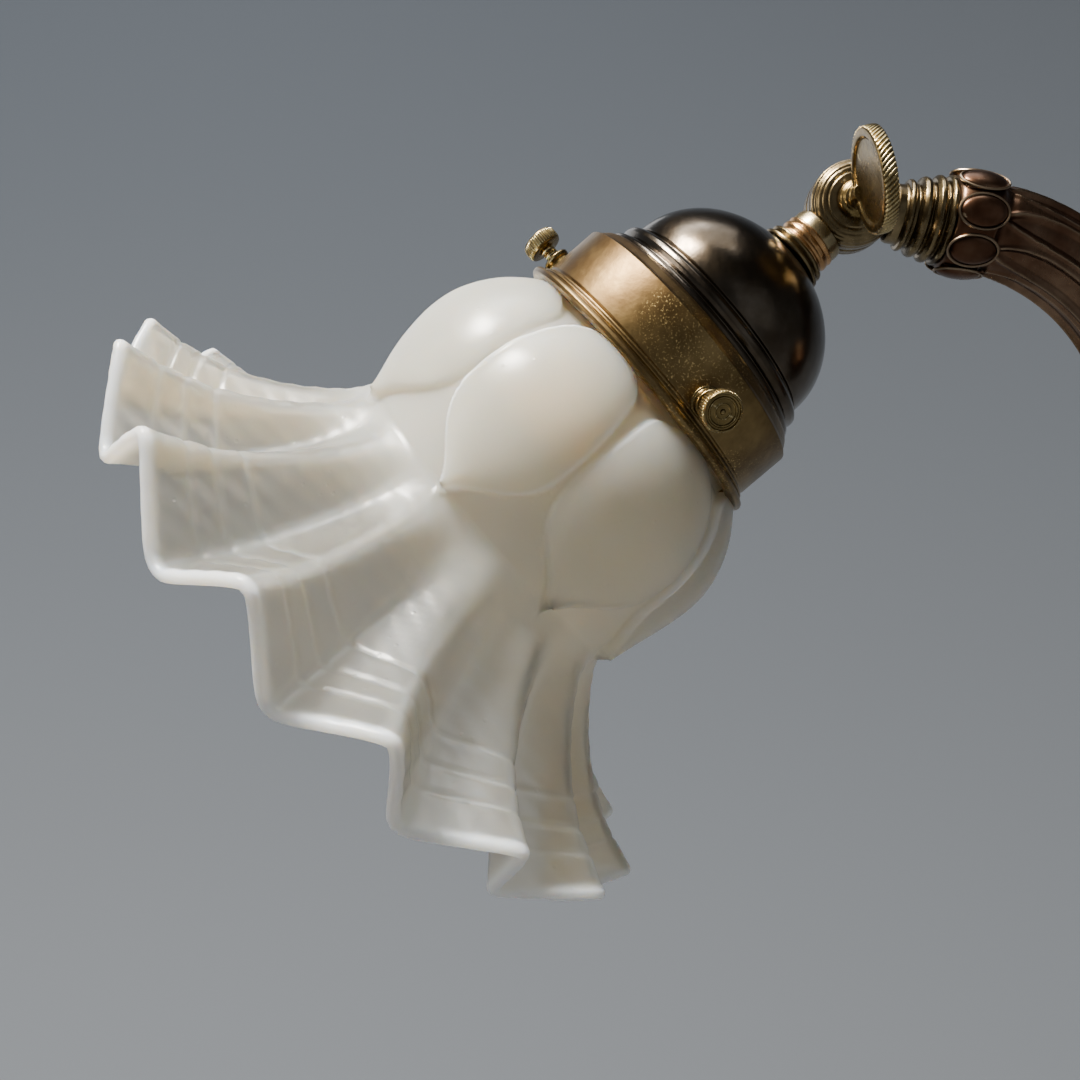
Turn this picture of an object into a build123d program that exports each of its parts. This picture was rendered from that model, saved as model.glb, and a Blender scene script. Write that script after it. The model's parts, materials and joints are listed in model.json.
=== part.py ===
"""Swing arm wall sconce: wall plate, swivel bracket, cast S-shaped arm, knuckle joint and a glass
shade in a three-screw gallery.

Frame: millimetres, +Z up. The origin is the centre of the wall plate's back face, the wall is the
plane Y = 0 and the lamp reaches out along -Y. All revolved pieces are drawn as a half section, as
(radius, distance along the axis) points, in a plane that section() lays through their axis.
"""

import os
from math import cos, radians, sin

from build123d import *

os.makedirs("parts", exist_ok=True)

# ---------------------------------------------------------------- driving dimensions
# Clearances
RUN = 0.05  # radial, shaft in a hole that turns
SEAT = 0.03  # face to face, between bodies that turn on each other

# Wall plate
PLATE_R = 50.0
PLATE_H = 18.0
PLATE_RIM_H = 4.0
PLATE_WALL = 3.0
PLATE_RIM_W = 16.0
CAVITY_R = PLATE_R - PLATE_RIM_W
WALL_SCREW_EDGE = 8.0
WALL_SCREW_PCD = 2 * (PLATE_R - WALL_SCREW_EDGE)
WALL_SCREW_COUNT = 3
WALL_SCREW_R = 2.25
WALL_SCREW_HEAD_R = 4.2

# M10 lamp thread, used at the bracket and in the head
M10_R = 5.0
M10_WALL = 1.7
M10_BORE_R = M10_R - M10_WALL
NUT_R = M10_R + 3.0
NUT_H = 4.0
WASHER_H = 0.8

# Bracket and vertical swivel
BARREL_R = 11.0
WEB_W = 12.0
WEB_T = 8.0
BRACKET_FOOT_R = 18.0
BRACKET_FOOT_H = 9.0
HINGE_Y = PLATE_H + BRACKET_FOOT_H + WEB_T + BARREL_R
EAR_R = BARREL_R
EAR_T = 6.0
EAR_GAP = 26.0
PIN_R = 4.0
PIN_END_R = PIN_R - 1.0
PIN_END_L = 7.0
FINIAL_R = 6.5
FINIAL_H = 15.0
THRUST_WASHER_H = 0.8
SOCKET_R = BARREL_R - 1.5
SOCKET_L = 17.0

# Knuckle
DRUM_R = 9.2
DRUM_T = 6.25
FRICTION_T = 0.6
STEM_WALL = 1.4
STEM_R = M10_R + STEM_WALL
DRUM_GAP = 0.5
TILT_SCREW_R = 2.0
TILT_HEAD_R = 10.5
TILT_HEAD_T = 3.0
TILT_HEAD_GAP = 0.37
TILT_COLLAR_R = 3.6
TILT_COLLAR_H = 2.0
TILT_NUT_R = 5.0
TILT_NUT_H = 4.0

# Arm: straight stem, upper arch, upright, lower bend, foot
ARM_R = 9.2
ARM_BORE_R = 3.6
ARM_FLUTES = 8
FLUTE_R = 3.4
FLUTE_DEPTH = 0.9
STEM_DROP = 9.0  # degrees below the horizontal at the knuckle
ARCH_R = 48.0
UPRIGHT_L = 22.0
BEND_R = 36.0
COLLAR_R = ARM_R + 1.8
COLLAR_L = 10.0
STEM_NECK_L = 10.8
COLLAR_AT = DRUM_R + STEM_NECK_L  # the collar's start, from the knuckle's centre
STEM_PLUG_L = 4.5
STEM_PLUG_ROOM = 0.4
STEM_L = COLLAR_AT + STEM_PLUG_L + STEM_PLUG_ROOM
ARM_SPIGOT_R = ARM_BORE_R + 1.2
ARM_SPIGOT_L = 8.0

# Head, as distances from the knuckle's centre along the head's axis
HEAD_DROP = 40.5  # degrees below the horizontal
NECK_FROM = DRUM_R + DRUM_GAP + 0.9
NECK_H = 3.7
NECK_MEET = NECK_FROM + 1.8
LOCK_RING_FROM = NECK_FROM + NECK_H
LOCK_RING_H = 2.8
LOCK_RING_R = STEM_R + 0.4
DOME_TOP = LOCK_RING_FROM + LOCK_RING_H
DOME_H = 20.0
DOME_WALL = 1.0
FLANGE_H = 6.2
GALLERY_PLATE_T = 1.2
SHOULDER_H = 2.7
BAND_H = 12.0
BAND_WALL = 1.0
BEAD_H = 3.0

# Glass shade
GLASS = 2.2
LIP_R = 29.8
LIP_H = 4.0
LIP_DOWN = 2.0
LIP_ROOM = 0.9
GROOVE_R = LIP_R - 1.4
BULGE_R = 43.2
BULGE_AT = 20.0
WAIST_R = 38.1
WAIST_AT = 41.0
PLEATS = 15
FOLD_OUT_R = 79.3
FOLD_OUT_AT = 68.2
FOLD_IN_R = 71.5
FOLD_IN_AT = 80.6
PLEAT_ANGLE = -2.7

# Gallery and dome, sized from the glass lip outwards
BAND_R = LIP_R + LIP_ROOM + BAND_WALL
BEAD_R = BAND_R + 2.3
FLANGE_R = BAND_R - 3.2
DOME_R = FLANGE_R - 3.0

# Shade screws
SHADE_SCREW_COUNT = 3
SHADE_SCREW_ANGLE = -22.0
SHADE_SCREW_UP = 6.8  # from the gallery's lower edge
SHADE_SCREW_R = 1.6
SHADE_SCREW_HEAD_R = 4.0
SHADE_SCREW_HEAD_T = 3.2
SHADE_SCREW_TIP = 0.25
SHADE_SCREW_REACH = BAND_R + 5.8
BOSS_R = SHADE_SCREW_R + 1.5
BOSS_REACH = BAND_R + 2.9
BOSS_ROOT = 1.5

# Lampholder, E27
LAMP_THREAD_R = 13.3
LAMP_THREAD_L = 18.0
THREAD_SHELL_T = 0.6
SLEEVE_WALL = 4.48
SLEEVE_H = 14.5
HOLDER_WALL = 1.0
HOLDER_CAP_H = 13.0
HOLDER_L = 38.0
HOLDER_MOUTH = 1.4
HOLDER_SCREW_PITCH = 18.0
HOLDER_SCREW_R = 1.5
HOLDER_SCREW_HEAD_R = 2.6
HOLDER_SCREW_HEAD_H = 1.4
HOLDER_NUT_H = 3.0
CORE_ROOM = 0.1
CORE_T = 6.5
CONTACT_ROOM = 3.0

# Wires
LEAD_R = 1.1
LEAD_APART = 1.4
FLEX_R = ARM_BORE_R - 1.2

# ---------------------------------------------------------------- places worked out from them
OUT = Vector(0, -1, 0)
UP = Vector(0, 0, 1)
SIDE = Vector(1, 0, 0)
HEAD_DIR = Vector(0, -cos(radians(HEAD_DROP)), -sin(radians(HEAD_DROP)))
STEM_DIR = Vector(0, cos(radians(STEM_DROP)), -sin(radians(STEM_DROP)))

ARCH_REACH = STEM_L * STEM_DIR.Y + ARCH_R * (1 - sin(radians(STEM_DROP)))
ARCH_FALL = -STEM_L * STEM_DIR.Z + ARCH_R * cos(radians(STEM_DROP))
SOCKET_END = HINGE_Y + BARREL_R + SOCKET_L
KNUCKLE = Vector(0, -(SOCKET_END + BEND_R + ARCH_REACH), ARCH_FALL + UPRIGHT_L + BEND_R)
HINGE = Vector(0, -HINGE_Y, 0)

PLATE_FLOOR = PLATE_H - PLATE_WALL
EAR_TOP = EAR_GAP / 2 + EAR_T
BARREL_HALF = EAR_GAP / 2 - THRUST_WASHER_H - 2 * SEAT
DOME_BASE = DOME_TOP + DOME_H
FLANGE_END = DOME_BASE + FLANGE_H
BAND_FROM = FLANGE_END + SHOULDER_H
BAND_END = BAND_FROM + BAND_H
GALLERY_END = BAND_END + BEAD_H
SHADE_SCREW_AT = GALLERY_END - SHADE_SCREW_UP
HOLDER_R = LAMP_THREAD_R + THREAD_SHELL_T + 0.02 + SLEEVE_WALL + CORE_ROOM + HOLDER_WALL
HOLDER_FROM = FLANGE_END + GALLERY_PLATE_T
HOLDER_END = HOLDER_FROM + HOLDER_L
HOLDER_NUT_END = HOLDER_FROM + HOLDER_WALL + HOLDER_NUT_H
NIPPLE_END = HOLDER_NUT_END + 0.6
CORE_END = HOLDER_END - LAMP_THREAD_L - CONTACT_ROOM
CORE_FROM = CORE_END - CORE_T
DRUM_IN = FRICTION_T / 2 + RUN
DRUM_OUT = DRUM_IN + DRUM_T
TILT_HEAD_AT = DRUM_OUT + SEAT + TILT_COLLAR_H + TILT_HEAD_GAP + TILT_HEAD_R
TILT_SCREW_END = DRUM_OUT + TILT_NUT_H
WEB_END = HINGE_Y - BARREL_R - 1


def section(origin, direction):
    """Half-section plane: its x runs sideways as the radius, its y along the axis."""
    return Plane(origin=origin, x_dir=SIDE, z_dir=SIDE.cross(direction))


def across(origin, direction):
    """Plane square to a direction, with its x sideways."""
    return Plane(origin=origin, x_dir=SIDE, z_dir=direction)


def save(part, name):
    """Label a finished piece and write it as its own file."""
    part.label = name
    export_step(part, f"parts/{name}.step")


WALL_SECTION = section((0, 0, 0), OUT)
WALL_AXIS = Axis((0, 0, 0), OUT)
HINGE_SECTION = section(HINGE, UP)
HINGE_AXIS = Axis(HINGE, UP)
FOOT_SECTION = section(HINGE, OUT)
FOOT_AXIS = Axis(HINGE, OUT)
STEM_SECTION = section(KNUCKLE, STEM_DIR)
STEM_AXIS = Axis(KNUCKLE, STEM_DIR)
HEAD = across(KNUCKLE, HEAD_DIR)
HEAD_SECTION = section(KNUCKLE, HEAD_DIR)
HEAD_AXIS = Axis(KNUCKLE, HEAD_DIR)
# The tilt axis runs along +X; this section's y is +X and its x is the head's own cross direction.
TILT_AXIS = Axis(KNUCKLE, SIDE)
TILT_SECTION = Plane(origin=KNUCKLE, x_dir=UP, z_dir=UP.cross(SIDE))

# ---------------------------------------------------------------- wall plate and what it holds
with BuildPart() as wall_plate:
    with BuildSketch(WALL_SECTION):
        with BuildLine():
            Polyline(
                (CAVITY_R, 0),
                (PLATE_R, 0),
                (PLATE_R, PLATE_RIM_H * 0.6),
                (PLATE_R - 2, PLATE_RIM_H),
                (PLATE_R - 5, PLATE_RIM_H + 0.8),
                (PLATE_R - 6, PLATE_RIM_H + 2.6),
                (CAVITY_R + 3, PLATE_RIM_H + 3.6),
                (CAVITY_R + 1, PLATE_RIM_H + 5.6),
                (CAVITY_R - 8, PLATE_H - 4.5),
                (CAVITY_R - 12, PLATE_H - 1),
                (CAVITY_R - 13, PLATE_H),
                (M10_R + RUN, PLATE_H),
                (M10_R + RUN, PLATE_FLOOR),
                (CAVITY_R - 16, PLATE_FLOOR),
                (CAVITY_R - 11, PLATE_FLOOR - 4),
                (CAVITY_R - 1, PLATE_RIM_H + 1.5),
                close=True,
            )
        make_face()
    revolve(axis=WALL_AXIS)
    with Locations(across((0, -(PLATE_RIM_H + 2.6), 0), OUT)):
        with PolarLocations(WALL_SCREW_PCD / 2, WALL_SCREW_COUNT, start_angle=90):
            CounterSinkHole(WALL_SCREW_R, WALL_SCREW_HEAD_R)
save(wall_plate.part, "wall_plate")

with BuildPart() as bracket:
    with BuildSketch(WALL_SECTION):
        with BuildLine():
            Polyline(
                (0, PLATE_H),
                (BRACKET_FOOT_R, PLATE_H),
                (BRACKET_FOOT_R, PLATE_H + 1.6),
                (BRACKET_FOOT_R - 4, PLATE_H + 2.6),
                (BRACKET_FOOT_R - 8, PLATE_H + 4),
                (WEB_W / 2 + 1.5, PLATE_H + BRACKET_FOOT_H),
                (WEB_W / 2 + 1.5, WEB_END),
                (0, WEB_END),
                close=True,
            )
        make_face()
    revolve(axis=WALL_AXIS)
    with BuildSketch(across(OUT * WEB_END, -OUT)):
        RectangleRounded(WEB_W, 2 * EAR_TOP, 2)
    extrude(amount=WEB_T)
    for low in (EAR_GAP / 2, -EAR_TOP):
        with BuildSketch(Plane.XY.offset(low)):
            with Locations((0, -HINGE_Y)):
                Circle(EAR_R)
            with Locations((0, -(HINGE_Y - BARREL_R / 2 - WEB_T / 2))):
                Rectangle(WEB_W, BARREL_R + WEB_T)
        extrude(amount=EAR_T)
    with BuildSketch(WALL_SECTION):
        with Locations((M10_R / 2, PLATE_H / 2 + 3)):
            Rectangle(M10_R, PLATE_H - 6)
    revolve(axis=WALL_AXIS)
    with BuildSketch(across((0, 0, 0), OUT)):
        Circle(M10_BORE_R)
    extrude(amount=HINGE_Y - BARREL_R - 3, mode=Mode.SUBTRACT)
    with BuildSketch(Plane.XY.offset(-EAR_TOP)):
        with Locations((0, -HINGE_Y)):
            Circle(PIN_R + RUN)
    extrude(amount=2 * EAR_TOP, mode=Mode.SUBTRACT)
save(bracket.part, "bracket")

with BuildPart() as bracket_washer:
    with BuildSketch(across((0, -PLATE_FLOOR, 0), -OUT)):
        Circle(NUT_R + 1)
        Circle(M10_R + RUN, mode=Mode.SUBTRACT)
    extrude(amount=WASHER_H)
save(bracket_washer.part, "bracket_washer")

with BuildPart() as bracket_nut:
    with BuildSketch(across((0, -(PLATE_FLOOR - WASHER_H), 0), -OUT)):
        RegularPolygon(NUT_R, 6)
        Circle(M10_R + RUN, mode=Mode.SUBTRACT)
    extrude(amount=NUT_H)
save(bracket_nut.part, "bracket_nut")

EARTH_Z = 15.5
with BuildPart() as earth_screw:
    with BuildSketch(across((0, -PLATE_FLOOR, EARTH_Z), -OUT)):
        Circle(1.6)
    extrude(amount=8)
    with BuildSketch(across((0, -(PLATE_FLOOR - 4), EARTH_Z), -OUT)):
        Circle(3.4)
    extrude(amount=2.4)
    fillet(earth_screw.edges().filter_by(GeomType.CIRCLE).sort_by(Axis.Y)[-1], 0.4)
save(earth_screw.part, "earth_screw")

BLOCK_W = 22.0
BLOCK_H = 9.0
BLOCK_Z = -17.0
BLOCK_BACK = 1.5
BLOCK_ROOM = 5.5  # from the block to the floor of the cavity
BLOCK_D = PLATE_FLOOR - BLOCK_BACK - BLOCK_ROOM
POLE_PITCH = 8.0
with BuildPart() as terminal_block:
    with BuildSketch(across((0, -BLOCK_BACK, BLOCK_Z), OUT)):
        RectangleRounded(BLOCK_W, BLOCK_H, 1)
    extrude(amount=BLOCK_D)
    with BuildSketch(across((0, -BLOCK_BACK - BLOCK_D / 2, BLOCK_Z - BLOCK_H / 2), UP)):
        with GridLocations(POLE_PITCH, 0, 2, 1):
            Circle(LEAD_R + 0.3)
    extrude(amount=BLOCK_H, mode=Mode.SUBTRACT)
    with BuildSketch(across((0, -BLOCK_BACK, BLOCK_Z), OUT)):
        with GridLocations(POLE_PITCH, 0, 2, 1):
            Circle(1.5 + RUN)
    extrude(amount=BLOCK_D / 2 - LEAD_R - 0.3, mode=Mode.SUBTRACT)
save(terminal_block.part, "terminal_block")

with BuildPart() as terminal_screws:
    with BuildSketch(across((0, -BLOCK_BACK, BLOCK_Z), OUT)):
        with GridLocations(POLE_PITCH, 0, 2, 1):
            Circle(1.5)
            Rectangle(2.2, 0.5, mode=Mode.SUBTRACT)
    extrude(amount=BLOCK_D / 2 - LEAD_R - 0.4)
save(terminal_screws.part, "terminal_screws")

# Two leads from the block's upper mouths, round into the bracket's hollow thread.
LEAD_END = HINGE_Y - BARREL_R - 6
with BuildPart() as plate_leads:
    for side in (-1, 1):
        start = (side * POLE_PITCH / 2, -BLOCK_BACK - BLOCK_D / 2, BLOCK_Z + 1)
        with BuildLine() as lead_path:
            FilletPolyline(
                start,
                (side * POLE_PITCH / 2, -BLOCK_BACK - BLOCK_D / 2, -6.5),
                (side * LEAD_APART, -BLOCK_BACK - 1.5, 0),
                (side * LEAD_APART, -LEAD_END, 0),
                radius=2.2,
            )
        with BuildSketch(Plane(origin=start, z_dir=UP)):
            Circle(LEAD_R)
        sweep(path=lead_path.wires()[0])
save(plate_leads.part, "plate_leads")

# ---------------------------------------------------------------- vertical swivel
with BuildPart() as swivel_pin:
    with BuildSketch(HINGE_SECTION):
        with BuildLine():
            Polyline(
                (0, -EAR_TOP - PIN_END_L),
                (PIN_END_R, -EAR_TOP - PIN_END_L),
                (PIN_END_R, -EAR_TOP),
                (PIN_R, -EAR_TOP),
                (PIN_R, EAR_TOP),
                (PIN_END_R, EAR_TOP),
                (PIN_END_R, EAR_TOP + PIN_END_L),
                (0, EAR_TOP + PIN_END_L),
                close=True,
            )
        make_face()
    revolve(axis=HINGE_AXIS)
save(swivel_pin.part, "swivel_pin")

for finial_name, turn in (("upper_finial", 1), ("lower_finial", -1)):
    with BuildPart() as finial:
        with BuildSketch(section(HINGE + UP * (turn * EAR_TOP), UP * turn)):
            with BuildLine():
                Polyline(
                    (0, PIN_END_L + 0.3),
                    (PIN_END_R + RUN, PIN_END_L + 0.3),
                    (PIN_END_R + RUN, 0),
                    (FINIAL_R + 1, 0),
                    (FINIAL_R + 1, 1.6),
                    (FINIAL_R - 2, 2.4),
                    (FINIAL_R - 2, 3.6),
                )
                Spline(
                    (FINIAL_R - 2, 3.6),
                    (FINIAL_R, 7.0),
                    (FINIAL_R * 0.55, 11.5),
                    (1.6, FINIAL_H - 2.2),
                )
                Polyline((1.6, FINIAL_H - 2.2), (1.6, FINIAL_H), (0, FINIAL_H), (0, PIN_END_L + 0.3))
            make_face()
        revolve(axis=HINGE_AXIS)
    save(finial.part, finial_name)

with BuildPart() as thrust_washers:
    for low in (EAR_GAP / 2 - SEAT - THRUST_WASHER_H, SEAT - EAR_GAP / 2):
        with BuildSketch(Plane.XY.offset(low)):
            with Locations((0, -HINGE_Y)):
                Circle(EAR_R - 1.5)
                Circle(PIN_R + RUN, mode=Mode.SUBTRACT)
        extrude(amount=THRUST_WASHER_H)
save(thrust_washers.part, "thrust_washers")

with BuildPart() as swivel_barrel:
    with BuildSketch(HINGE_SECTION):
        with BuildLine():
            Polyline(
                (PIN_R + RUN, -BARREL_HALF),
                (BARREL_R, -BARREL_HALF),
                (BARREL_R, -BARREL_HALF + 2.5),
                (BARREL_R - 1.2, -BARREL_HALF + 3.5),
                (BARREL_R - 1.2, BARREL_HALF - 3.5),
                (BARREL_R, BARREL_HALF - 2.5),
                (BARREL_R, BARREL_HALF),
                (PIN_R + RUN, BARREL_HALF),
                close=True,
            )
        make_face()
    revolve(axis=HINGE_AXIS)
    with BuildSketch(FOOT_SECTION):
        with BuildLine():
            Polyline(
                (0, PIN_R + 2),
                (SOCKET_R - 1.5, PIN_R + 2),
                (SOCKET_R - 1.5, BARREL_R + 3),
                (SOCKET_R - 0.3, BARREL_R + 4),
                (SOCKET_R - 0.3, BARREL_R + 6.5),
                (SOCKET_R - 1.3, BARREL_R + 7.5),
                (SOCKET_R - 1.3, BARREL_R + 9),
                (SOCKET_R, BARREL_R + 10),
                (SOCKET_R, BARREL_R + SOCKET_L),
                (0, BARREL_R + SOCKET_L),
                close=True,
            )
        make_face()
    revolve(axis=FOOT_AXIS)
    with BuildSketch(Plane.XY.offset(-BARREL_HALF)):
        with Locations((0, -HINGE_Y)):
            Circle(PIN_R + RUN)
    extrude(amount=2 * BARREL_HALF, mode=Mode.SUBTRACT)
    with BuildSketch(across(HINGE + OUT * (BARREL_R + SOCKET_L - ARM_SPIGOT_L), OUT)):
        Circle(ARM_SPIGOT_R + RUN)
    extrude(amount=ARM_SPIGOT_L, mode=Mode.SUBTRACT)
    with BuildSketch(across(HINGE + OUT * (PIN_R + 4), OUT)):
        Circle(M10_BORE_R)
    extrude(amount=BARREL_R + SOCKET_L, mode=Mode.SUBTRACT)
save(swivel_barrel.part, "swivel_barrel")

# ---------------------------------------------------------------- arm
ARM_TOP = KNUCKLE + STEM_DIR * COLLAR_AT
ARCH_START = KNUCKLE + STEM_DIR * STEM_L
ARM_FOOT = Vector(0, -SOCKET_END, 0)
with BuildLine(Plane.YZ) as arm_path:
    Line((ARM_TOP.Y, ARM_TOP.Z), (ARCH_START.Y, ARCH_START.Z))
    arch = JernArc((ARCH_START.Y, ARCH_START.Z), (STEM_DIR.Y, STEM_DIR.Z), ARCH_R, STEM_DROP - 90)
    upright = Line(arch @ 1, arch @ 1 - (0, UPRIGHT_L))
    JernArc(upright @ 1, (0, -1), BEND_R, 90)

with BuildPart() as arm:
    with BuildSketch(across(ARM_TOP, STEM_DIR)):
        Circle(ARM_R)
        with PolarLocations(ARM_R + FLUTE_R - FLUTE_DEPTH, ARM_FLUTES):
            Circle(FLUTE_R, mode=Mode.SUBTRACT)
    sweep(path=arm_path.wires()[0])
    # A bellied collar stands over each end of the fluted length.
    for plane, axis, low in (
        (STEM_SECTION, STEM_AXIS, COLLAR_AT),
        (section(HINGE, OUT), FOOT_AXIS, SOCKET_END - HINGE_Y),
    ):
        with BuildSketch(plane):
            with BuildLine():
                Polyline((0, low), (COLLAR_R - 2.2, low))
                ThreePointArc(
                    (COLLAR_R - 2.2, low),
                    (COLLAR_R, low + COLLAR_L * 0.45),
                    (ARM_R - 0.6, low + COLLAR_L),
                )
                Polyline((ARM_R - 0.6, low + COLLAR_L), (0, low + COLLAR_L), (0, low))
            make_face()
        revolve(axis=axis)
    with BuildSketch(across(ARM_FOOT - OUT * (ARM_SPIGOT_L - 0.5), OUT)):
        Circle(ARM_SPIGOT_R)
    extrude(amount=ARM_SPIGOT_L)
    with BuildSketch(across(ARM_TOP, STEM_DIR)):
        Circle(ARM_SPIGOT_R + RUN)
    extrude(amount=STEM_L - COLLAR_AT, mode=Mode.SUBTRACT)
    with BuildSketch(across(ARM_TOP, STEM_DIR)):
        Circle(ARM_BORE_R)
    sweep(path=arm_path.wires()[0], mode=Mode.SUBTRACT)
    with BuildSketch(across(ARM_FOOT, -OUT)):
        Circle(ARM_BORE_R)
    extrude(amount=ARM_SPIGOT_L, mode=Mode.SUBTRACT)
save(arm.part, "arm")

with BuildPart() as arm_flex:
    with BuildSketch(across(ARM_TOP, STEM_DIR)):
        Circle(FLEX_R)
    sweep(path=arm_path.wires()[0])
    with BuildSketch(across(ARM_FOOT, -OUT)):
        Circle(FLEX_R)
    extrude(amount=BARREL_R + SOCKET_L - PIN_R - 5)
save(arm_flex.part, "arm_flex")

# ---------------------------------------------------------------- knuckle
with BuildPart() as knuckle_arm_half:
    with BuildSketch(TILT_SECTION):
        with BuildLine():
            Polyline(
                (TILT_SCREW_R + RUN, -DRUM_IN),
                (DRUM_R, -DRUM_IN),
                (DRUM_R, -DRUM_OUT + 2.2),
                (DRUM_R - 1.2, -DRUM_OUT + 0.8),
                (DRUM_R - 3, -DRUM_OUT),
                (TILT_SCREW_R + RUN, -DRUM_OUT),
                close=True,
            )
        make_face()
    revolve(axis=TILT_AXIS)
    with BuildSketch(STEM_SECTION):
        with BuildLine():
            Polyline(
                (0, TILT_SCREW_R + 2),
                (STEM_R, TILT_SCREW_R + 2),
                (STEM_R, COLLAR_AT - 9),
                (STEM_R + 1.2, COLLAR_AT - 8),
                (STEM_R + 1.2, COLLAR_AT - 6),
                (STEM_R + 0.4, COLLAR_AT - 5.5),
                (STEM_R + 2.2, COLLAR_AT - 4.5),
                (STEM_R + 2.2, COLLAR_AT - 2.2),
                (STEM_R + 1.4, COLLAR_AT - 1.8),
                (STEM_R + 2.6, COLLAR_AT - 1),
                (STEM_R + 2.6, COLLAR_AT),
                (ARM_SPIGOT_R, COLLAR_AT),
                (ARM_SPIGOT_R, COLLAR_AT + STEM_PLUG_L),
                (0, COLLAR_AT + STEM_PLUG_L),
                close=True,
            )
        make_face()
    revolve(axis=STEM_AXIS)
    with BuildSketch(Plane.YZ.offset(-DRUM_IN)):
        with Locations((KNUCKLE.Y, KNUCKLE.Z)):
            Circle(DRUM_R + DRUM_GAP)
    extrude(amount=DRUM_OUT + STEM_R, mode=Mode.SUBTRACT)
    with BuildSketch(Plane.YZ.offset(-DRUM_OUT)):
        with Locations((KNUCKLE.Y, KNUCKLE.Z)):
            Circle(TILT_SCREW_R + RUN)
    extrude(amount=2 * DRUM_OUT, mode=Mode.SUBTRACT)
    with BuildSketch(across(KNUCKLE + STEM_DIR * (DRUM_R + 2), STEM_DIR)):
        Circle(ARM_BORE_R - 0.8)
    extrude(amount=STEM_L, mode=Mode.SUBTRACT)
save(knuckle_arm_half.part, "knuckle_arm_half")

with BuildPart() as knuckle_head_half:
    with BuildSketch(TILT_SECTION):
        with BuildLine():
            Polyline(
                (TILT_SCREW_R + RUN, DRUM_IN),
                (DRUM_R, DRUM_IN),
                (DRUM_R, DRUM_OUT - 2.2),
                (DRUM_R - 1.2, DRUM_OUT - 0.8),
                (DRUM_R - 3, DRUM_OUT),
                (TILT_SCREW_R + RUN, DRUM_OUT),
                close=True,
            )
        make_face()
    revolve(axis=TILT_AXIS)
    with BuildSketch(HEAD_SECTION):
        with Locations((STEM_R / 2, (TILT_SCREW_R + 2 + NECK_FROM) / 2)):
            Rectangle(STEM_R, NECK_FROM - TILT_SCREW_R - 2)
    revolve(axis=HEAD_AXIS)
    with BuildSketch(Plane.YZ.offset(DRUM_IN)):
        with Locations((KNUCKLE.Y, KNUCKLE.Z)):
            Circle(DRUM_R + DRUM_GAP)
    extrude(amount=-DRUM_OUT - STEM_R, mode=Mode.SUBTRACT)
    with BuildSketch(Plane.YZ.offset(-DRUM_OUT)):
        with Locations((KNUCKLE.Y, KNUCKLE.Z)):
            Circle(TILT_SCREW_R + RUN)
    extrude(amount=2 * DRUM_OUT, mode=Mode.SUBTRACT)
    with BuildSketch(HEAD.offset(NECK_FROM)):
        Circle(M10_R)
        Circle(M10_BORE_R, mode=Mode.SUBTRACT)
    extrude(amount=NECK_MEET - NECK_FROM)
save(knuckle_head_half.part, "knuckle_head_half")

with BuildPart() as friction_washer:
    with BuildSketch(Plane.YZ.offset(-FRICTION_T / 2)):
        with Locations((KNUCKLE.Y, KNUCKLE.Z)):
            Circle(DRUM_R - 0.8)
            Circle(TILT_SCREW_R + RUN, mode=Mode.SUBTRACT)
    extrude(amount=FRICTION_T)
save(friction_washer.part, "friction_washer")

with BuildPart() as screw_collar:
    with BuildSketch(Plane.YZ.offset(DRUM_OUT + SEAT)):
        with Locations((KNUCKLE.Y, KNUCKLE.Z)):
            Circle(TILT_COLLAR_R)
            Circle(TILT_SCREW_R + RUN, mode=Mode.SUBTRACT)
    extrude(amount=TILT_COLLAR_H)
    fillet(screw_collar.edges().group_by(Axis.X)[-1].sort_by(SortBy.LENGTH)[-1], 0.6)
save(screw_collar.part, "screw_collar")

# The clamp screw's head is a coin that stands in the plane of the screw's own axis.
with BuildPart() as knuckle_screw:
    with BuildSketch(Plane.YZ.offset(-TILT_SCREW_END)):
        with Locations((KNUCKLE.Y, KNUCKLE.Z)):
            Circle(TILT_SCREW_R)
    extrude(amount=TILT_SCREW_END + TILT_HEAD_AT - TILT_HEAD_R + 1)
    with BuildSketch(Plane(origin=KNUCKLE + SIDE * TILT_HEAD_AT, x_dir=SIDE, z_dir=(0, 1, 0.22))):
        Circle(TILT_HEAD_R)
    extrude(amount=TILT_HEAD_T / 2, both=True)
    fillet(knuckle_screw.edges().filter_by(GeomType.CIRCLE).sort_by(SortBy.LENGTH)[-2:], 0.5)
save(knuckle_screw.part, "knuckle_screw")

with BuildPart() as knuckle_nut:
    with BuildSketch(Plane.YZ.offset(-DRUM_OUT - SEAT)):
        with Locations((KNUCKLE.Y, KNUCKLE.Z)):
            RegularPolygon(TILT_NUT_R, 6)
            Circle(TILT_SCREW_R + RUN, mode=Mode.SUBTRACT)
    extrude(amount=-TILT_NUT_H)
save(knuckle_nut.part, "knuckle_nut")

# ---------------------------------------------------------------- head: neck, dome and gallery
with BuildPart() as neck:
    with BuildSketch(HEAD_SECTION):
        with BuildLine():
            Polyline(
                (M10_R + RUN, LOCK_RING_FROM),
                (M10_R + RUN, NECK_FROM),
                (STEM_R, NECK_FROM),
            )
            ThreePointArc(
                (STEM_R, NECK_FROM),
                (STEM_R - 0.25, (NECK_FROM + LOCK_RING_FROM) / 2),
                (STEM_R, LOCK_RING_FROM),
            )
            Line((STEM_R, LOCK_RING_FROM), (M10_R + RUN, LOCK_RING_FROM))
        make_face()
    revolve(axis=HEAD_AXIS)
save(neck.part, "neck")

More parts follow.
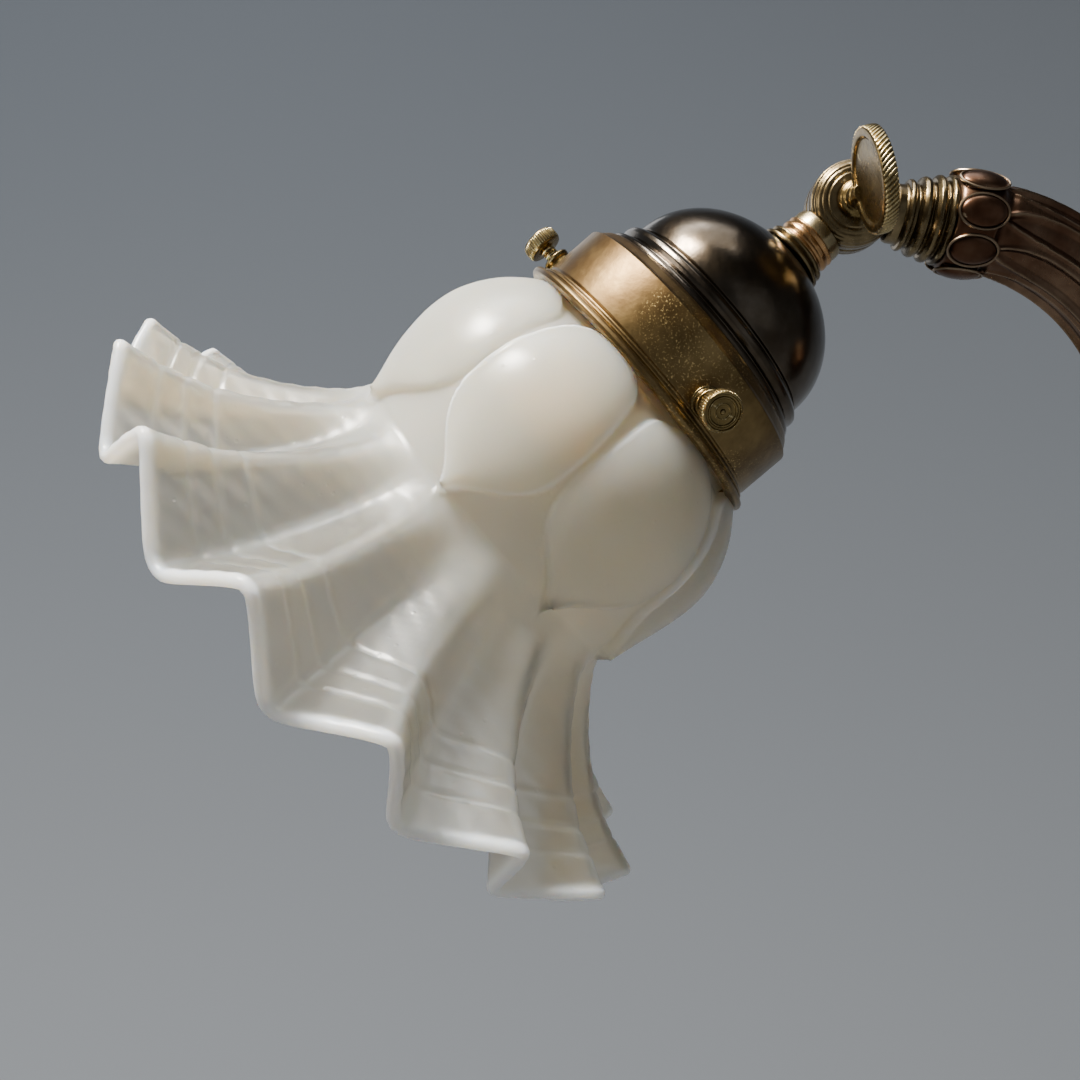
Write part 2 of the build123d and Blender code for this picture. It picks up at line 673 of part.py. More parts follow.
with BuildPart() as lock_ring:
    with BuildSketch(HEAD.offset(LOCK_RING_FROM)):
        Circle(LOCK_RING_R)
        Circle(M10_R + RUN, mode=Mode.SUBTRACT)
    extrude(amount=DOME_TOP - LOCK_RING_FROM)
    fillet(lock_ring.edges().filter_by(GeomType.CIRCLE).sort_by(SortBy.LENGTH)[-2:], 0.6)
save(lock_ring.part, "lock_ring")

with BuildPart() as nipple:
    with BuildSketch(HEAD.offset(NECK_MEET + RUN)):
        Circle(M10_R)
        Circle(M10_BORE_R, mode=Mode.SUBTRACT)
    extrude(amount=NIPPLE_END - NECK_MEET - RUN)
save(nipple.part, "nipple")

CAP_R = LOCK_RING_R + 0.6
with BuildPart() as dome:
    with BuildSketch(HEAD_SECTION):
        with BuildLine():
            Line((M10_R + RUN, DOME_TOP), (CAP_R, DOME_TOP))
            Spline(
                (CAP_R, DOME_TOP),
                (DOME_R * 0.75, DOME_TOP + DOME_H * 0.31),
                (DOME_R, DOME_BASE),
                tangents=((1, 0.1), (0, 1)),
            )
            Polyline(
                (DOME_R, DOME_BASE),
                (DOME_R + 1.3, DOME_BASE + 1.5),
                (DOME_R + 1.3, DOME_BASE + 3.4),
                (FLANGE_R - 0.6, FLANGE_END - 1.6),
                (FLANGE_R, FLANGE_END),
                (FLANGE_R - DOME_WALL - 0.8, FLANGE_END),
                (DOME_R + 0.3 - DOME_WALL, DOME_BASE + 3.4),
                (DOME_R - DOME_WALL, DOME_BASE),
            )
            Spline(
                (DOME_R - DOME_WALL, DOME_BASE),
                (DOME_R * 0.75 - DOME_WALL * 0.7, DOME_TOP + DOME_H * 0.31 + DOME_WALL * 0.75),
                (CAP_R, DOME_TOP + DOME_WALL),
                tangents=((0, -1), (-1, -0.1)),
            )
            Polyline(
                (CAP_R, DOME_TOP + DOME_WALL),
                (M10_R + RUN, DOME_TOP + DOME_WALL),
                (M10_R + RUN, DOME_TOP),
            )
        make_face()
    revolve(axis=HEAD_AXIS)
save(dome.part, "dome")

SCREW_ANGLES = [SHADE_SCREW_ANGLE + i * 360 / SHADE_SCREW_COUNT for i in range(SHADE_SCREW_COUNT)]


def screw_plane(angle):
    """Plane square to a shade screw, through the head's axis at the screws' height."""
    around = HEAD.offset(SHADE_SCREW_AT)
    outward = around.x_dir * cos(radians(angle)) + around.y_dir * sin(radians(angle))
    return Plane(origin=around.origin, x_dir=HEAD_DIR, z_dir=outward)


with BuildPart() as gallery:
    with BuildSketch(HEAD_SECTION):
        with BuildLine():
            Polyline(
                (M10_R + RUN, FLANGE_END),
                (FLANGE_R + 0.4, FLANGE_END),
                (BAND_R, BAND_FROM),
                (BAND_R, BAND_END),
            )
            ThreePointArc(
                (BAND_R, BAND_END),
                (BEAD_R, BAND_END + BEAD_H / 2),
                (BAND_R, GALLERY_END),
            )
            Polyline(
                (BAND_R, GALLERY_END),
                (BAND_R - BAND_WALL, GALLERY_END),
                (BAND_R - BAND_WALL, BAND_FROM + 0.6),
                (FLANGE_R - 0.6, FLANGE_END + GALLERY_PLATE_T),
                (M10_R + RUN, FLANGE_END + GALLERY_PLATE_T),
                (M10_R + RUN, FLANGE_END),
            )
        make_face()
    revolve(axis=HEAD_AXIS)
    for angle in SCREW_ANGLES:
        with BuildSketch(screw_plane(angle).offset(BAND_R - 3)):
            Circle(SHADE_SCREW_R + RUN)
        extrude(amount=6, mode=Mode.SUBTRACT)
save(gallery.part, "gallery")

with BuildPart() as screw_bosses:
    for angle in SCREW_ANGLES:
        with BuildSketch(screw_plane(angle).offset(BAND_R - BOSS_ROOT)):
            Circle(BOSS_R)
            Circle(SHADE_SCREW_R + RUN, mode=Mode.SUBTRACT)
        extrude(amount=BOSS_REACH - BAND_R + BOSS_ROOT)
    with BuildSketch(HEAD.offset(BAND_FROM)):
        Circle(BAND_R)
    extrude(amount=BAND_H, mode=Mode.SUBTRACT)
save(screw_bosses.part, "screw_bosses")

for number, angle in enumerate(SCREW_ANGLES, start=1):
    with BuildPart() as shade_screw:
        with BuildSketch(screw_plane(angle).offset(GROOVE_R + SHADE_SCREW_TIP)):
            Circle(SHADE_SCREW_R)
        extrude(amount=SHADE_SCREW_REACH - GROOVE_R - SHADE_SCREW_TIP)
        with BuildSketch(screw_plane(angle).offset(SHADE_SCREW_REACH)):
            Circle(SHADE_SCREW_HEAD_R)
        extrude(amount=SHADE_SCREW_HEAD_T)
        with BuildSketch(screw_plane(angle).offset(SHADE_SCREW_REACH - 0.8)):
            Circle(SHADE_SCREW_R + 0.9)
        extrude(amount=0.8)
        chamfer(shade_screw.edges().filter_by(GeomType.CIRCLE).sort_by(SortBy.LENGTH)[-2:], 0.4)
    save(shade_screw.part, f"shade_screw_{number}")

# ---------------------------------------------------------------- lampholder
with BuildPart() as holder_nut:
    with BuildSketch(HEAD.offset(HOLDER_FROM + HOLDER_WALL)):
        RegularPolygon(NUT_R - 1, 6)
        Circle(M10_R + RUN, mode=Mode.SUBTRACT)
    extrude(amount=HOLDER_NUT_H)
save(holder_nut.part, "holder_nut")

with BuildPart() as holder_cap:
    with BuildSketch(HEAD_SECTION):
        with BuildLine():
            Polyline(
                (M10_R + RUN, HOLDER_FROM),
                (NUT_R + 2, HOLDER_FROM),
            )
            ThreePointArc(
                (NUT_R + 2, HOLDER_FROM),
                (HOLDER_R - 2.2, HOLDER_FROM + 3.6),
                (HOLDER_R, HOLDER_FROM + HOLDER_CAP_H - 2),
            )
            Polyline(
                (HOLDER_R, HOLDER_FROM + HOLDER_CAP_H - 2),
                (HOLDER_R, HOLDER_FROM + HOLDER_CAP_H),
                (HOLDER_R - HOLDER_WALL, HOLDER_FROM + HOLDER_CAP_H),
                (HOLDER_R - HOLDER_WALL, HOLDER_FROM + HOLDER_CAP_H - 2),
            )
            ThreePointArc(
                (HOLDER_R - HOLDER_WALL, HOLDER_FROM + HOLDER_CAP_H - 2),
                (HOLDER_R - 2.2 - HOLDER_WALL, HOLDER_FROM + 3.6 + HOLDER_WALL),
                (NUT_R + 2, HOLDER_FROM + HOLDER_WALL),
            )
            Polyline(
                (NUT_R + 2, HOLDER_FROM + HOLDER_WALL),
                (M10_R + RUN, HOLDER_FROM + HOLDER_WALL),
                (M10_R + RUN, HOLDER_FROM),
            )
        make_face()
    revolve(axis=HEAD_AXIS)
save(holder_cap.part, "holder_cap")

with BuildPart() as holder_shell:
    with BuildSketch(HEAD.offset(HOLDER_FROM + HOLDER_CAP_H)):
        Circle(HOLDER_R)
        Circle(HOLDER_R - HOLDER_WALL, mode=Mode.SUBTRACT)
    extrude(amount=HOLDER_L - HOLDER_CAP_H)
    with BuildSketch(HEAD.offset(HOLDER_END - HOLDER_WALL)):
        Circle(HOLDER_R)
        Circle(LAMP_THREAD_R + HOLDER_MOUTH, mode=Mode.SUBTRACT)
    extrude(amount=HOLDER_WALL)
save(holder_shell.part, "holder_shell")

with BuildPart() as holder_core:
    with BuildSketch(HEAD.offset(CORE_FROM)):
        Circle(HOLDER_R - HOLDER_WALL - CORE_ROOM)
        with GridLocations(HOLDER_SCREW_PITCH, 0, 2, 1):
            Circle(HOLDER_SCREW_R + RUN, mode=Mode.SUBTRACT)
    extrude(amount=CORE_T)
save(holder_core.part, "holder_core")

# An insulating sleeve stands on the core, round the thread shell.
with BuildPart() as holder_sleeve:
    with BuildSketch(HEAD.offset(CORE_END)):
        Circle(HOLDER_R - HOLDER_WALL - CORE_ROOM)
        Circle(LAMP_THREAD_R + THREAD_SHELL_T + 0.02, mode=Mode.SUBTRACT)
    extrude(amount=SLEEVE_H)
save(holder_sleeve.part, "holder_sleeve")

with BuildPart() as lamp_thread_shell:
    with BuildSketch(HEAD.offset(HOLDER_END - HOLDER_WALL - LAMP_THREAD_L)):
        Circle(LAMP_THREAD_R + THREAD_SHELL_T)
        Circle(LAMP_THREAD_R, mode=Mode.SUBTRACT)
    extrude(amount=LAMP_THREAD_L)
save(lamp_thread_shell.part, "lamp_thread_shell")

with BuildPart() as centre_contact:
    with BuildSketch(HEAD.offset(CORE_END)):
        RectangleRounded(16, 5, 1)
    extrude(amount=0.5)
    with BuildSketch(HEAD.offset(CORE_END + 0.5)):
        Circle(2.4)
    extrude(amount=1.3)
    fillet(centre_contact.edges().filter_by(GeomType.CIRCLE).sort_by(SortBy.LENGTH)[-1], 0.6)
save(centre_contact.part, "centre_contact")

with BuildPart() as holder_screws:
    with BuildSketch(HEAD.offset(CORE_FROM)):
        with GridLocations(HOLDER_SCREW_PITCH, 0, 2, 1):
            Circle(HOLDER_SCREW_R)
    extrude(amount=CORE_T - 2)
    with BuildSketch(HEAD.offset(CORE_FROM)):
        with GridLocations(HOLDER_SCREW_PITCH, 0, 2, 1):
            Circle(HOLDER_SCREW_HEAD_R)
            Rectangle(2 * HOLDER_SCREW_HEAD_R, 0.6, mode=Mode.SUBTRACT)
    extrude(amount=-HOLDER_SCREW_HEAD_H)
save(holder_screws.part, "holder_screws")

# The head's two leads drop from the nipple's hollow to the holder's screws.
HEAD_LEAD_OUT = HOLDER_SCREW_PITCH / 2 - HOLDER_SCREW_HEAD_R - LEAD_R - 0.1
with BuildPart() as head_leads:
    for side in (-1, 1):
        with BuildLine(HEAD_SECTION) as head_lead_path:
            FilletPolyline(
                (side * LEAD_APART, NECK_FROM + 0.4),
                (side * LEAD_APART, NIPPLE_END + 1.6),
                (side * HEAD_LEAD_OUT, CORE_FROM - 2.6),
                (side * HEAD_LEAD_OUT, CORE_FROM - 0.1),
                radius=1.6,
            )
        with BuildSketch(HEAD.offset(NECK_FROM + 0.4)):
            with Locations((side * LEAD_APART, 0)):
                Circle(LEAD_R)
        sweep(path=head_lead_path.wires()[0])
save(head_leads.part, "head_leads")


# ---------------------------------------------------------------- glass shade
def fold_lines():
    """Outer line of the glass, from the collar down, over an outward and an inward fold.

    Each entry is (radius, place) on the outward fold and (radius, place) on the inward one, with
    places measured from the gallery's lower edge. Down to the waist the two are the same.
    """
    lip_top = BAND_FROM + LIP_DOWN - GALLERY_END
    collar = [
        (LIP_R, lip_top),
        (LIP_R, lip_top + LIP_H),
        (GROOVE_R, lip_top + LIP_H + 0.8),
        (GROOVE_R, 0.8),
        (GROOVE_R + 4.5, 3.0),
    ]
    body = [
        (BULGE_R * 0.9, BULGE_AT * 0.42),
        (BULGE_R * 0.985, BULGE_AT * 0.75),
        (BULGE_R, BULGE_AT),
        (BULGE_R * 0.975, BULGE_AT + (WAIST_AT - BULGE_AT) * 0.35),
        (WAIST_R * 1.035, BULGE_AT + (WAIST_AT - BULGE_AT) * 0.7),
        (WAIST_R, WAIST_AT),
    ]
    rows = [(point, point) for point in collar + body]
    for share, out_r, out_at, in_r, in_at in (
        (0.25, 0.16, 0.28, 0.15, 0.27),
        (0.50, 0.37, 0.61, 0.38, 0.53),
        (0.75, 0.66, 0.86, 0.68, 0.77),
        (1.00, 1.00, 1.00, 1.00, 1.00),
    ):
        rows.append(
            (
                (WAIST_R + (FOLD_OUT_R - WAIST_R) * out_r, WAIST_AT + (FOLD_OUT_AT - WAIST_AT) * out_at),
                (WAIST_R + (FOLD_IN_R - WAIST_R) * in_r, WAIST_AT + (FOLD_IN_AT - WAIST_AT) * in_at),
            )
        )
    return rows


def inner_line(points):
    """The same line moved to the inner face of the glass."""
    moved = []
    for i, (r, at) in enumerate(points):
        before, after = points[max(i - 1, 0)], points[min(i + 1, len(points) - 1)]
        run = Vector(after[0] - before[0], after[1] - before[1]).normalized()
        moved.append((r - GLASS * run.Y, at + GLASS * run.X) if i else (r - GLASS, at))
    return moved


def glass_rings(lines):
    """Rings of points, one ring a row, alternating inward and outward folds."""
    folds_out, folds_in = lines
    rings = []
    for outward, inward in zip(folds_out, folds_in):
        ring = []
        for i in range(2 * PLEATS):
            r, at = inward if i % 2 == 0 else outward
            angle = radians(PLEAT_ANGLE + i * 180 / PLEATS)
            place = HEAD.offset(GALLERY_END + at)
            ring.append(place.origin + place.x_dir * (r * cos(angle)) + place.y_dir * (r * sin(angle)))
        rings.append(ring)
    return rings


def skin(upper, lower):
    """Flat triangles between two rings of points."""
    faces = []
    for i in range(len(upper)):
        j = (i + 1) % len(upper)
        faces.append(Face(Wire.make_polygon([upper[i], upper[j], lower[j]])))
        faces.append(Face(Wire.make_polygon([upper[i], lower[j], lower[i]])))
    return faces


rows = fold_lines()
out_line = [row[0] for row in rows]
in_line = [row[1] for row in rows]
outer = glass_rings((out_line, in_line))
inner = glass_rings((inner_line(out_line), inner_line(in_line)))
glass_faces = skin(inner[0], outer[0]) + skin(outer[-1], inner[-1])
for face_rings in (outer, inner):
    for upper, lower in zip(face_rings, face_rings[1:]):
        glass_faces += skin(upper, lower)
glass_shade = Part(Solid(Shell(glass_faces)).wrapped)
save(glass_shade, "glass_shade")
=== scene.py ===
"""Visible pieces of a swing arm wall sconce, built on its CAD frame.

The lamp hangs from a wall plate on the plane Y = 0 and reaches out along -Y, with +Z up. Lengths in
the outlines below are millimetres, as (radius, place along the axis); everything else is metres.
"""

import json
from contextlib import contextmanager
from math import cos, pi, radians, sin

import bmesh
import bpy
import numpy as np
from bpy.props import FloatProperty, FloatVectorProperty, IntProperty, PointerProperty
from mathutils import Matrix, Vector


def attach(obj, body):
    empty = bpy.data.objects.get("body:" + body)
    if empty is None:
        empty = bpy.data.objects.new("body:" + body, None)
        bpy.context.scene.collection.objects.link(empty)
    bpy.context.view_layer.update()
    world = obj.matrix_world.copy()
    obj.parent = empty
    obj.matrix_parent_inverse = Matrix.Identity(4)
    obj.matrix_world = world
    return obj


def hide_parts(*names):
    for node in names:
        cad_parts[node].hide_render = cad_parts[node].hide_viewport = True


bl_info = {
    "name": "Swing Arm Sconce",
    "version": (1, 0, 0),
    "blender": (4, 5, 0),
    "location": "View3D > Sidebar > Sconce",
    "description": "Builds the visible pieces of a swing arm wall sconce on its CAD frame",
    "category": "Add Mesh",
}

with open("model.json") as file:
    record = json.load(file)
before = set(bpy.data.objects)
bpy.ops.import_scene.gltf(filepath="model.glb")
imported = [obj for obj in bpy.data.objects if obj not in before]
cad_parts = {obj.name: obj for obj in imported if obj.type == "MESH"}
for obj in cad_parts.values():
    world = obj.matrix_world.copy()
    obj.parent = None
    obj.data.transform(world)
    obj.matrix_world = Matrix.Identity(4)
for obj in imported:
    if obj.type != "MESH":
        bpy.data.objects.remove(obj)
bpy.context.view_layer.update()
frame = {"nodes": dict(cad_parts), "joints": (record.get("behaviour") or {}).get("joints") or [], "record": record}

# ---- places read from the frame
MM = 0.001
SIDE = Vector((1, 0, 0))
UP = Vector((0, 0, 1))
OUT = Vector((0, -1, 0))
JOINTS = {joint["name"]: joint for joint in frame["joints"]}
MOUNTS = {mount["name"]: mount for mount in frame["record"]["mounts"]}
KNUCKLE = Vector(JOINTS["head_tilt"]["pos_m"])
HINGE = Vector(JOINTS["arm_swing"]["pos_m"])
HEAD_DIR = Vector(MOUNTS["lamp_thread"]["axis"]).normalized()
STEM_DROP = radians(9.0)
STEM_DIR = Vector((0, cos(STEM_DROP), -sin(STEM_DROP)))

# Millimetres from the knuckle's centre: along the head, across the knuckle, along the arm's stem.
# The socket's end is measured from the hinge, and BAND_R is a radius.
NECK_FROM = 10.6
LOCK_RING_FROM = 14.3
DOME_TOP = 17.1
DOME_BASE = 37.1
FLANGE_END = 43.3
BAND_FROM = 46.0
GALLERY_END = 61.0
BAND_R = 31.7
SCREW_AT = 54.2
DRUM_IN = 0.35
DRUM_OUT = 6.6
COIN_AT = 19.5
COLLAR_AT = 20.0
SOCKET_END = 28.0


def spindle(origin, direction, side=SIDE):
    """Matrix whose local Z runs along a direction and whose local X points sideways."""
    along = direction.normalized()
    across = along.cross(side).normalized()
    turned = Matrix((across.cross(along), across, along)).transposed().to_4x4()
    return Matrix.Translation(origin) @ turned


HEAD = spindle(KNUCKLE, HEAD_DIR)
STEM = spindle(KNUCKLE, STEM_DIR)
TILT = spindle(KNUCKLE, SIDE, UP)
FOOT = spindle(HINGE, OUT)
WALL = spindle(Vector((0, 0, 0)), OUT)
COIN = spindle(KNUCKLE + SIDE * COIN_AT * MM, Vector((0, 1, 0.22)))

CREASE = 38  # degrees between faces that shade as a sharp edge


def raised(place, distance):
    """A place moved along its own axis, in millimetres."""
    return place @ Matrix.Translation((0, 0, distance * MM))


# ---- outlines and meshes
def softened(points, radius, closed=False, steps=4):
    """An outline with its corners rounded."""
    outline = []
    last = len(points) - 1
    for i, point in enumerate(points):
        corner = Vector(point)
        if not closed and i in (0, last):
            outline.append(tuple(corner))
            continue
        before = Vector(points[i - 1])
        after = Vector(points[(i + 1) % len(points)])
        start = corner.lerp(before, min(radius / max((before - corner).length, 1e-6), 0.48))
        end = corner.lerp(after, min(radius / max((after - corner).length, 1e-6), 0.48))
        for k in range(steps + 1):
            t = k / steps
            outline.append(tuple(start * (1 - t) ** 2 + corner * 2 * t * (1 - t) + end * t * t))
    return outline


def smooth_line(points, steps=12):
    """Points of a Catmull-Rom curve through an outline's points."""
    padded = [points[0], *points, points[-1]]
    line = []
    for a, b, c, d in zip(padded, padded[1:], padded[2:], padded[3:]):
        a, b, c, d = (np.array(p, float) for p in (a, b, c, d))
        for t in np.linspace(0, 1, steps, endpoint=False):
            square = (2 * a - 5 * b + 4 * c - d) * t**2
            cube = (3 * b - a - 3 * c + d) * t**3
            line.append(0.5 * (2 * b + (c - a) * t + square + cube))
    line.append(np.array(points[-1], float))
    return np.array(line)


def along(line, share):
    """Points at shares of a line's length."""
    steps = np.linalg.norm(np.diff(line, axis=0), axis=1)
    run = np.concatenate([[0], np.cumsum(steps)])
    return np.stack([np.interp(share * run[-1], run, line[:, i]) for i in range(line.shape[1])], -1)


@contextmanager
def opened(mesh):
    """A mesh opened for editing, and written back afterwards."""
    shape = bmesh.new()
    shape.from_mesh(mesh)
    yield shape
    shape.to_mesh(mesh)
    shape.free()


def tidy(mesh, crease=CREASE):
    """Merge doubles, point the faces outwards and shade smooth between creases."""
    with opened(mesh) as shape:
        bmesh.ops.remove_doubles(shape, verts=shape.verts, dist=1e-7)
        bmesh.ops.dissolve_degenerate(shape, edges=shape.edges, dist=1e-7)
        bmesh.ops.recalc_face_normals(shape, faces=shape.faces)
    mesh.shade_smooth()
    mesh.set_sharp_from_angle(angle=radians(crease))
    return mesh


def mesh_of(name, points, faces):
    """A new mesh from an array of points and its faces."""
    mesh = bpy.data.meshes.new(name)
    mesh.from_pydata(points.tolist(), [], faces)
    return mesh


def grid_faces(rows, columns, ring):
    """Quads of a grid that closes round its columns and, if it is a ring, over its rows."""
    faces = []
    for i in range(rows if ring else rows - 1):
        low, high = i * columns, ((i + 1) % rows) * columns
        for j in range(columns):
            k = (j + 1) % columns
            faces.append((low + j, low + k, high + k, high + j))
    return faces


def turned(name, outline, place, steps=128, ring=False, relief=None):
    """A turned mesh from an outline in millimetres, with capped ends unless it is a ring."""
    line = np.array(outline, float)
    angle = np.arange(steps) * 2 * pi / steps
    radius = np.repeat(line[:, :1], steps, 1)
    height = np.repeat(line[:, 1:2], steps, 1)
    if relief:
        radius = radius + relief(height, angle[None, :])
    points = np.stack([radius * np.cos(angle), radius * np.sin(angle), height], -1)
    points = points.reshape(-1, 3) * MM
    faces = grid_faces(len(line), steps, ring)
    if not ring:
        faces += [tuple(range(steps)), tuple(range((len(line) - 1) * steps, len(line) * steps))]
    mesh = mesh_of(name, points, faces)
    mesh.transform(place)
    return tidy(mesh)


def turned_ring(name, outline, rounding, place, steps):
    """A turned ring from a closed outline with its corners rounded."""
    return turned(name, softened(outline, rounding, True), place, steps, True)


def gathered(name, meshes):
    """One mesh from several."""
    shape = bmesh.new()
    for mesh in meshes:
        shape.from_mesh(mesh)
    joined = bpy.data.meshes.new(name)
    shape.to_mesh(joined)
    shape.free()
    joined.shade_smooth()
    joined.set_sharp_from_angle(angle=radians(CREASE))
    return joined


def placed(name, data):
    """A new object in the scene."""
    made = bpy.data.objects.new(name, data)
    bpy.context.scene.collection.objects.link(made)
    return made


def piece(name, mesh, body, finish, replaces=()):
    """A finished piece: on its body, with its finish, in place of the CAD nodes it stands for."""
    mesh.materials.clear()
    mesh.materials.append(finish_named(finish))
    shown = placed(name, mesh)
    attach(shown, body)
    if replaces:
        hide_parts(*replaces)


# ---- geometry nodes
class Tree:
    """A small builder for node trees."""

    def __init__(self, tree):
        self.tree = tree

    def feed(self, node, inputs):
        """Set or link a node's inputs."""
        for key, value in dict(inputs).items():
            if isinstance(value, bpy.types.NodeSocket):
                self.tree.links.new(value, node.inputs[key])
            else:
                node.inputs[key].default_value = value
        return node

    def add(self, kind, inputs=(), **settings):
        """A new node with its settings and inputs."""
        node = self.tree.nodes.new(kind)
        for key, value in settings.items():
            setattr(node, key, value)
        return self.feed(node, inputs)

    def geometry(self, kind, inputs=()):
        """The result of a geometry node."""
        return self.add("GeometryNode" + kind, inputs).outputs[0]

    def vector(self, parts):
        """A vector from its X, Y and Z."""
        return self.add("ShaderNodeCombineXYZ", parts).outputs[0]

    def math(self, operation, *values):
        """The result of a sum."""
        return self.add("ShaderNodeMath", enumerate(values), operation=operation).outputs[0]


def geometry_tree(name, whole, real):
    """A geometry tree with whole, real and finish inputs, and its group input's sockets."""
    made = bpy.data.node_groups.new(name, "GeometryNodeTree")
    made.interface.new_socket("Geometry", in_out="OUTPUT", socket_type="NodeSocketGeometry")
    for kind, labels in (("Int", whole), ("Float", real), ("Material", ["Finish"])):
        for label in labels:
            made.interface.new_socket(label, in_out="INPUT", socket_type=f"NodeSocket{kind}")
    build = Tree(made)
    return build, build.add("NodeGroupInput").outputs


def close_tree(build, geometry, finish):
    """End a tree in realized instances with their material."""
    real = build.geometry("RealizeInstances", {"Geometry": geometry})
    painted = build.geometry("SetMaterial", {"Geometry": real, "Material": finish})
    build.add("NodeGroupOutput", {0: painted})
    return build.tree


def round_the_axis(build, source, count, radius):
    """Instances of a geometry on a ring, each turned to face outwards."""
    ring = build.geometry("MeshCircle", {"Vertices": count, "Radius": radius})
    index = build.geometry("InputIndex")
    angle = build.math("MULTIPLY", build.math("DIVIDE", index, count), 2 * pi)
    euler = build.vector({"Z": angle})
    turn = build.add("FunctionNodeEulerToRotation", {"Euler": euler}).outputs[0]
    wanted = {"Points": ring, "Instance": source, "Rotation": turn}
    return build.geometry("InstanceOnPoints", wanted)


def stud_tree():
    """Round or oval studs on a ring: beading, milling and cabochons."""
    sizes = ("Ring Radius", "Stud Height", "Stud Width", "Stud Length", "Lean")
    build, given = geometry_tree("Studs on a ring", ("Count", "Segments"), sizes)
    round_ = {"Segments": given["Segments"], "Rings": given["Segments"], "Radius": 1.0}
    ball = build.geometry("MeshUVSphere", round_)
    sides = {"X": given["Stud Height"], "Y": given["Stud Width"], "Z": given["Stud Length"]}
    size = build.vector(sides)
    shaped = build.geometry("Transform", {"Geometry": ball, "Scale": size})
    lean = build.vector({"X": given["Lean"]})
    leaned = build.geometry("Transform", {"Geometry": shaped, "Rotation": lean})
    spread = round_the_axis(build, leaned, given["Count"], given["Ring Radius"])
    return close_tree(build, spread, given["Finish"])


def frame_tree():
    """Thin oval wires on a ring, one round each cabochon."""
    sizes = ("Ring Radius", "Width", "Length", "Wire")
    build, given = geometry_tree("Oval wires on a ring", ("Count",), sizes)
    loop = build.geometry("CurvePrimitiveCircle", {"Resolution": 40, "Radius": 1.0})
    turn = {"Geometry": loop, "Rotation": (0, pi / 2, 0)}
    upright = build.geometry("Transform", turn)
    sides = {"X": 1.0, "Y": given["Width"], "Z": given["Length"]}
    size = build.vector(sides)
    oval = build.geometry("Transform", {"Geometry": upright, "Scale": size})
    section = {"Resolution": 8, "Radius": given["Wire"]}
    wire = build.geometry("CurvePrimitiveCircle", section)
    swept = build.geometry("CurveToMesh", {"Curve": oval, "Profile Curve": wire})
    spread = round_the_axis(build, swept, given["Count"], given["Ring Radius"])
    return close_tree(build, spread, given["Finish"])


def thread_tree():
    """A screw thread: one ridge wound round a shank."""
    build, given = geometry_tree("Wound thread", (), ("Radius", "Pitch", "Length", "Ridge"))
    winding = {
        "Resolution": 28,
        "Rotations": build.math("DIVIDE", given["Length"], given["Pitch"]),
        "Start Radius": given["Radius"],
        "End Radius": given["Radius"],
        "Height": given["Length"],
    }
    spiral = build.geometry("CurveSpiral", winding)
    section = {"Resolution": 6, "Radius": given["Ridge"]}
    ridge = build.geometry("CurvePrimitiveCircle", section)
    swept = {"Curve": spiral, "Profile Curve": ridge, "Fill Caps": True}
    wound = build.geometry("CurveToMesh", swept)
    return close_tree(build, wound, given["Finish"])


TREES = {}


def grown(name, make_tree, finish, place, values):
    """The plain mesh of a geometry tree with these inputs, moved to its place."""
    if make_tree not in TREES:
        TREES[make_tree] = make_tree()
    tree = TREES[make_tree]
    seed = placed(name, bpy.data.meshes.new(name))
    modifier = seed.modifiers.new(name, "NODES")
    modifier.node_group = tree
    for item in tree.interface.items_tree:
        if item.in_out == "INPUT" and item.name in values:
            modifier[item.identifier] = values[item.name]
        elif item.in_out == "INPUT" and item.name == "Finish":
            modifier[item.identifier] = finish_named(finish)
    graph = bpy.context.evaluated_depsgraph_get()
    mesh = bpy.data.meshes.new_from_object(seed.evaluated_get(graph))
    seed.modifiers.remove(modifier)
    bpy.data.objects.remove(seed)
    mesh.name = name
    mesh.transform(place)
    return tidy(mesh)


def studs(name, finish, place, count, ring_radius, size, segments, lean=0.0):
    """A ring of studs, each with its height, width and length in millimetres."""
    height, width, length = (side * MM for side in size)
    values = {
        "Count": count, "Ring Radius": ring_radius, "Stud Height": height, "Stud Width": width,
        "Stud Length": length, "Lean": lean, "Segments": segments,
    }
    return grown(name, stud_tree, finish, place, values)


def thread(name, finish, place, radius, pitch, length, ridge):
    """A wound thread, with its sizes in metres."""
    values = {"Radius": radius, "Pitch": pitch, "Length": length, "Ridge": ridge}
    return grown(name, thread_tree, finish, place, values)


# ---- finishes
def shader(name):
    """A new material, its tree builder and its principled shader."""
    made = bpy.data.materials.new(name)
    made.use_nodes = True
    return made, Tree(made.node_tree), made.node_tree.nodes["Principled BSDF"]


def share(build, value, low, high):
    """A value stretched so that low becomes 0 and high becomes 1."""
    settings = {"Value": value, "From Min": low, "From Max": high}
    return build.add("ShaderNodeMapRange", settings, interpolation_type="SMOOTHSTEP").outputs[0]


def noise(build, scale, detail=4.0, rough=0.55, stretch=(1, 1, 1), shift=(0, 0, 0)):
    """Noise over the object's own coordinates."""
    where = build.add("ShaderNodeTexCoord").outputs["Object"]
    laid = build.add("ShaderNodeMapping", {"Vector": where, "Scale": stretch, "Location": shift})
    settings = {"Vector": laid.outputs[0], "Scale": scale, "Detail": detail, "Roughness": rough}
    return build.add("ShaderNodeTexNoise", settings).outputs["Fac"]


def blend(build, amount, first, second):
    """A mix of two colours."""
    pair = [one if isinstance(one, bpy.types.NodeSocket) else (*one, 1) for one in (first, second)]
    mix = build.add("ShaderNodeMix", zip((0, 6, 7), (amount, *pair)), data_type="RGBA")
    return mix.outputs[2]


def bumped(build, height, strength, distance):
    """A bump normal from a height."""
    settings = {"Height": height, "Strength": strength, "Distance": distance}
    return build.add("ShaderNodeBump", settings).outputs[0]


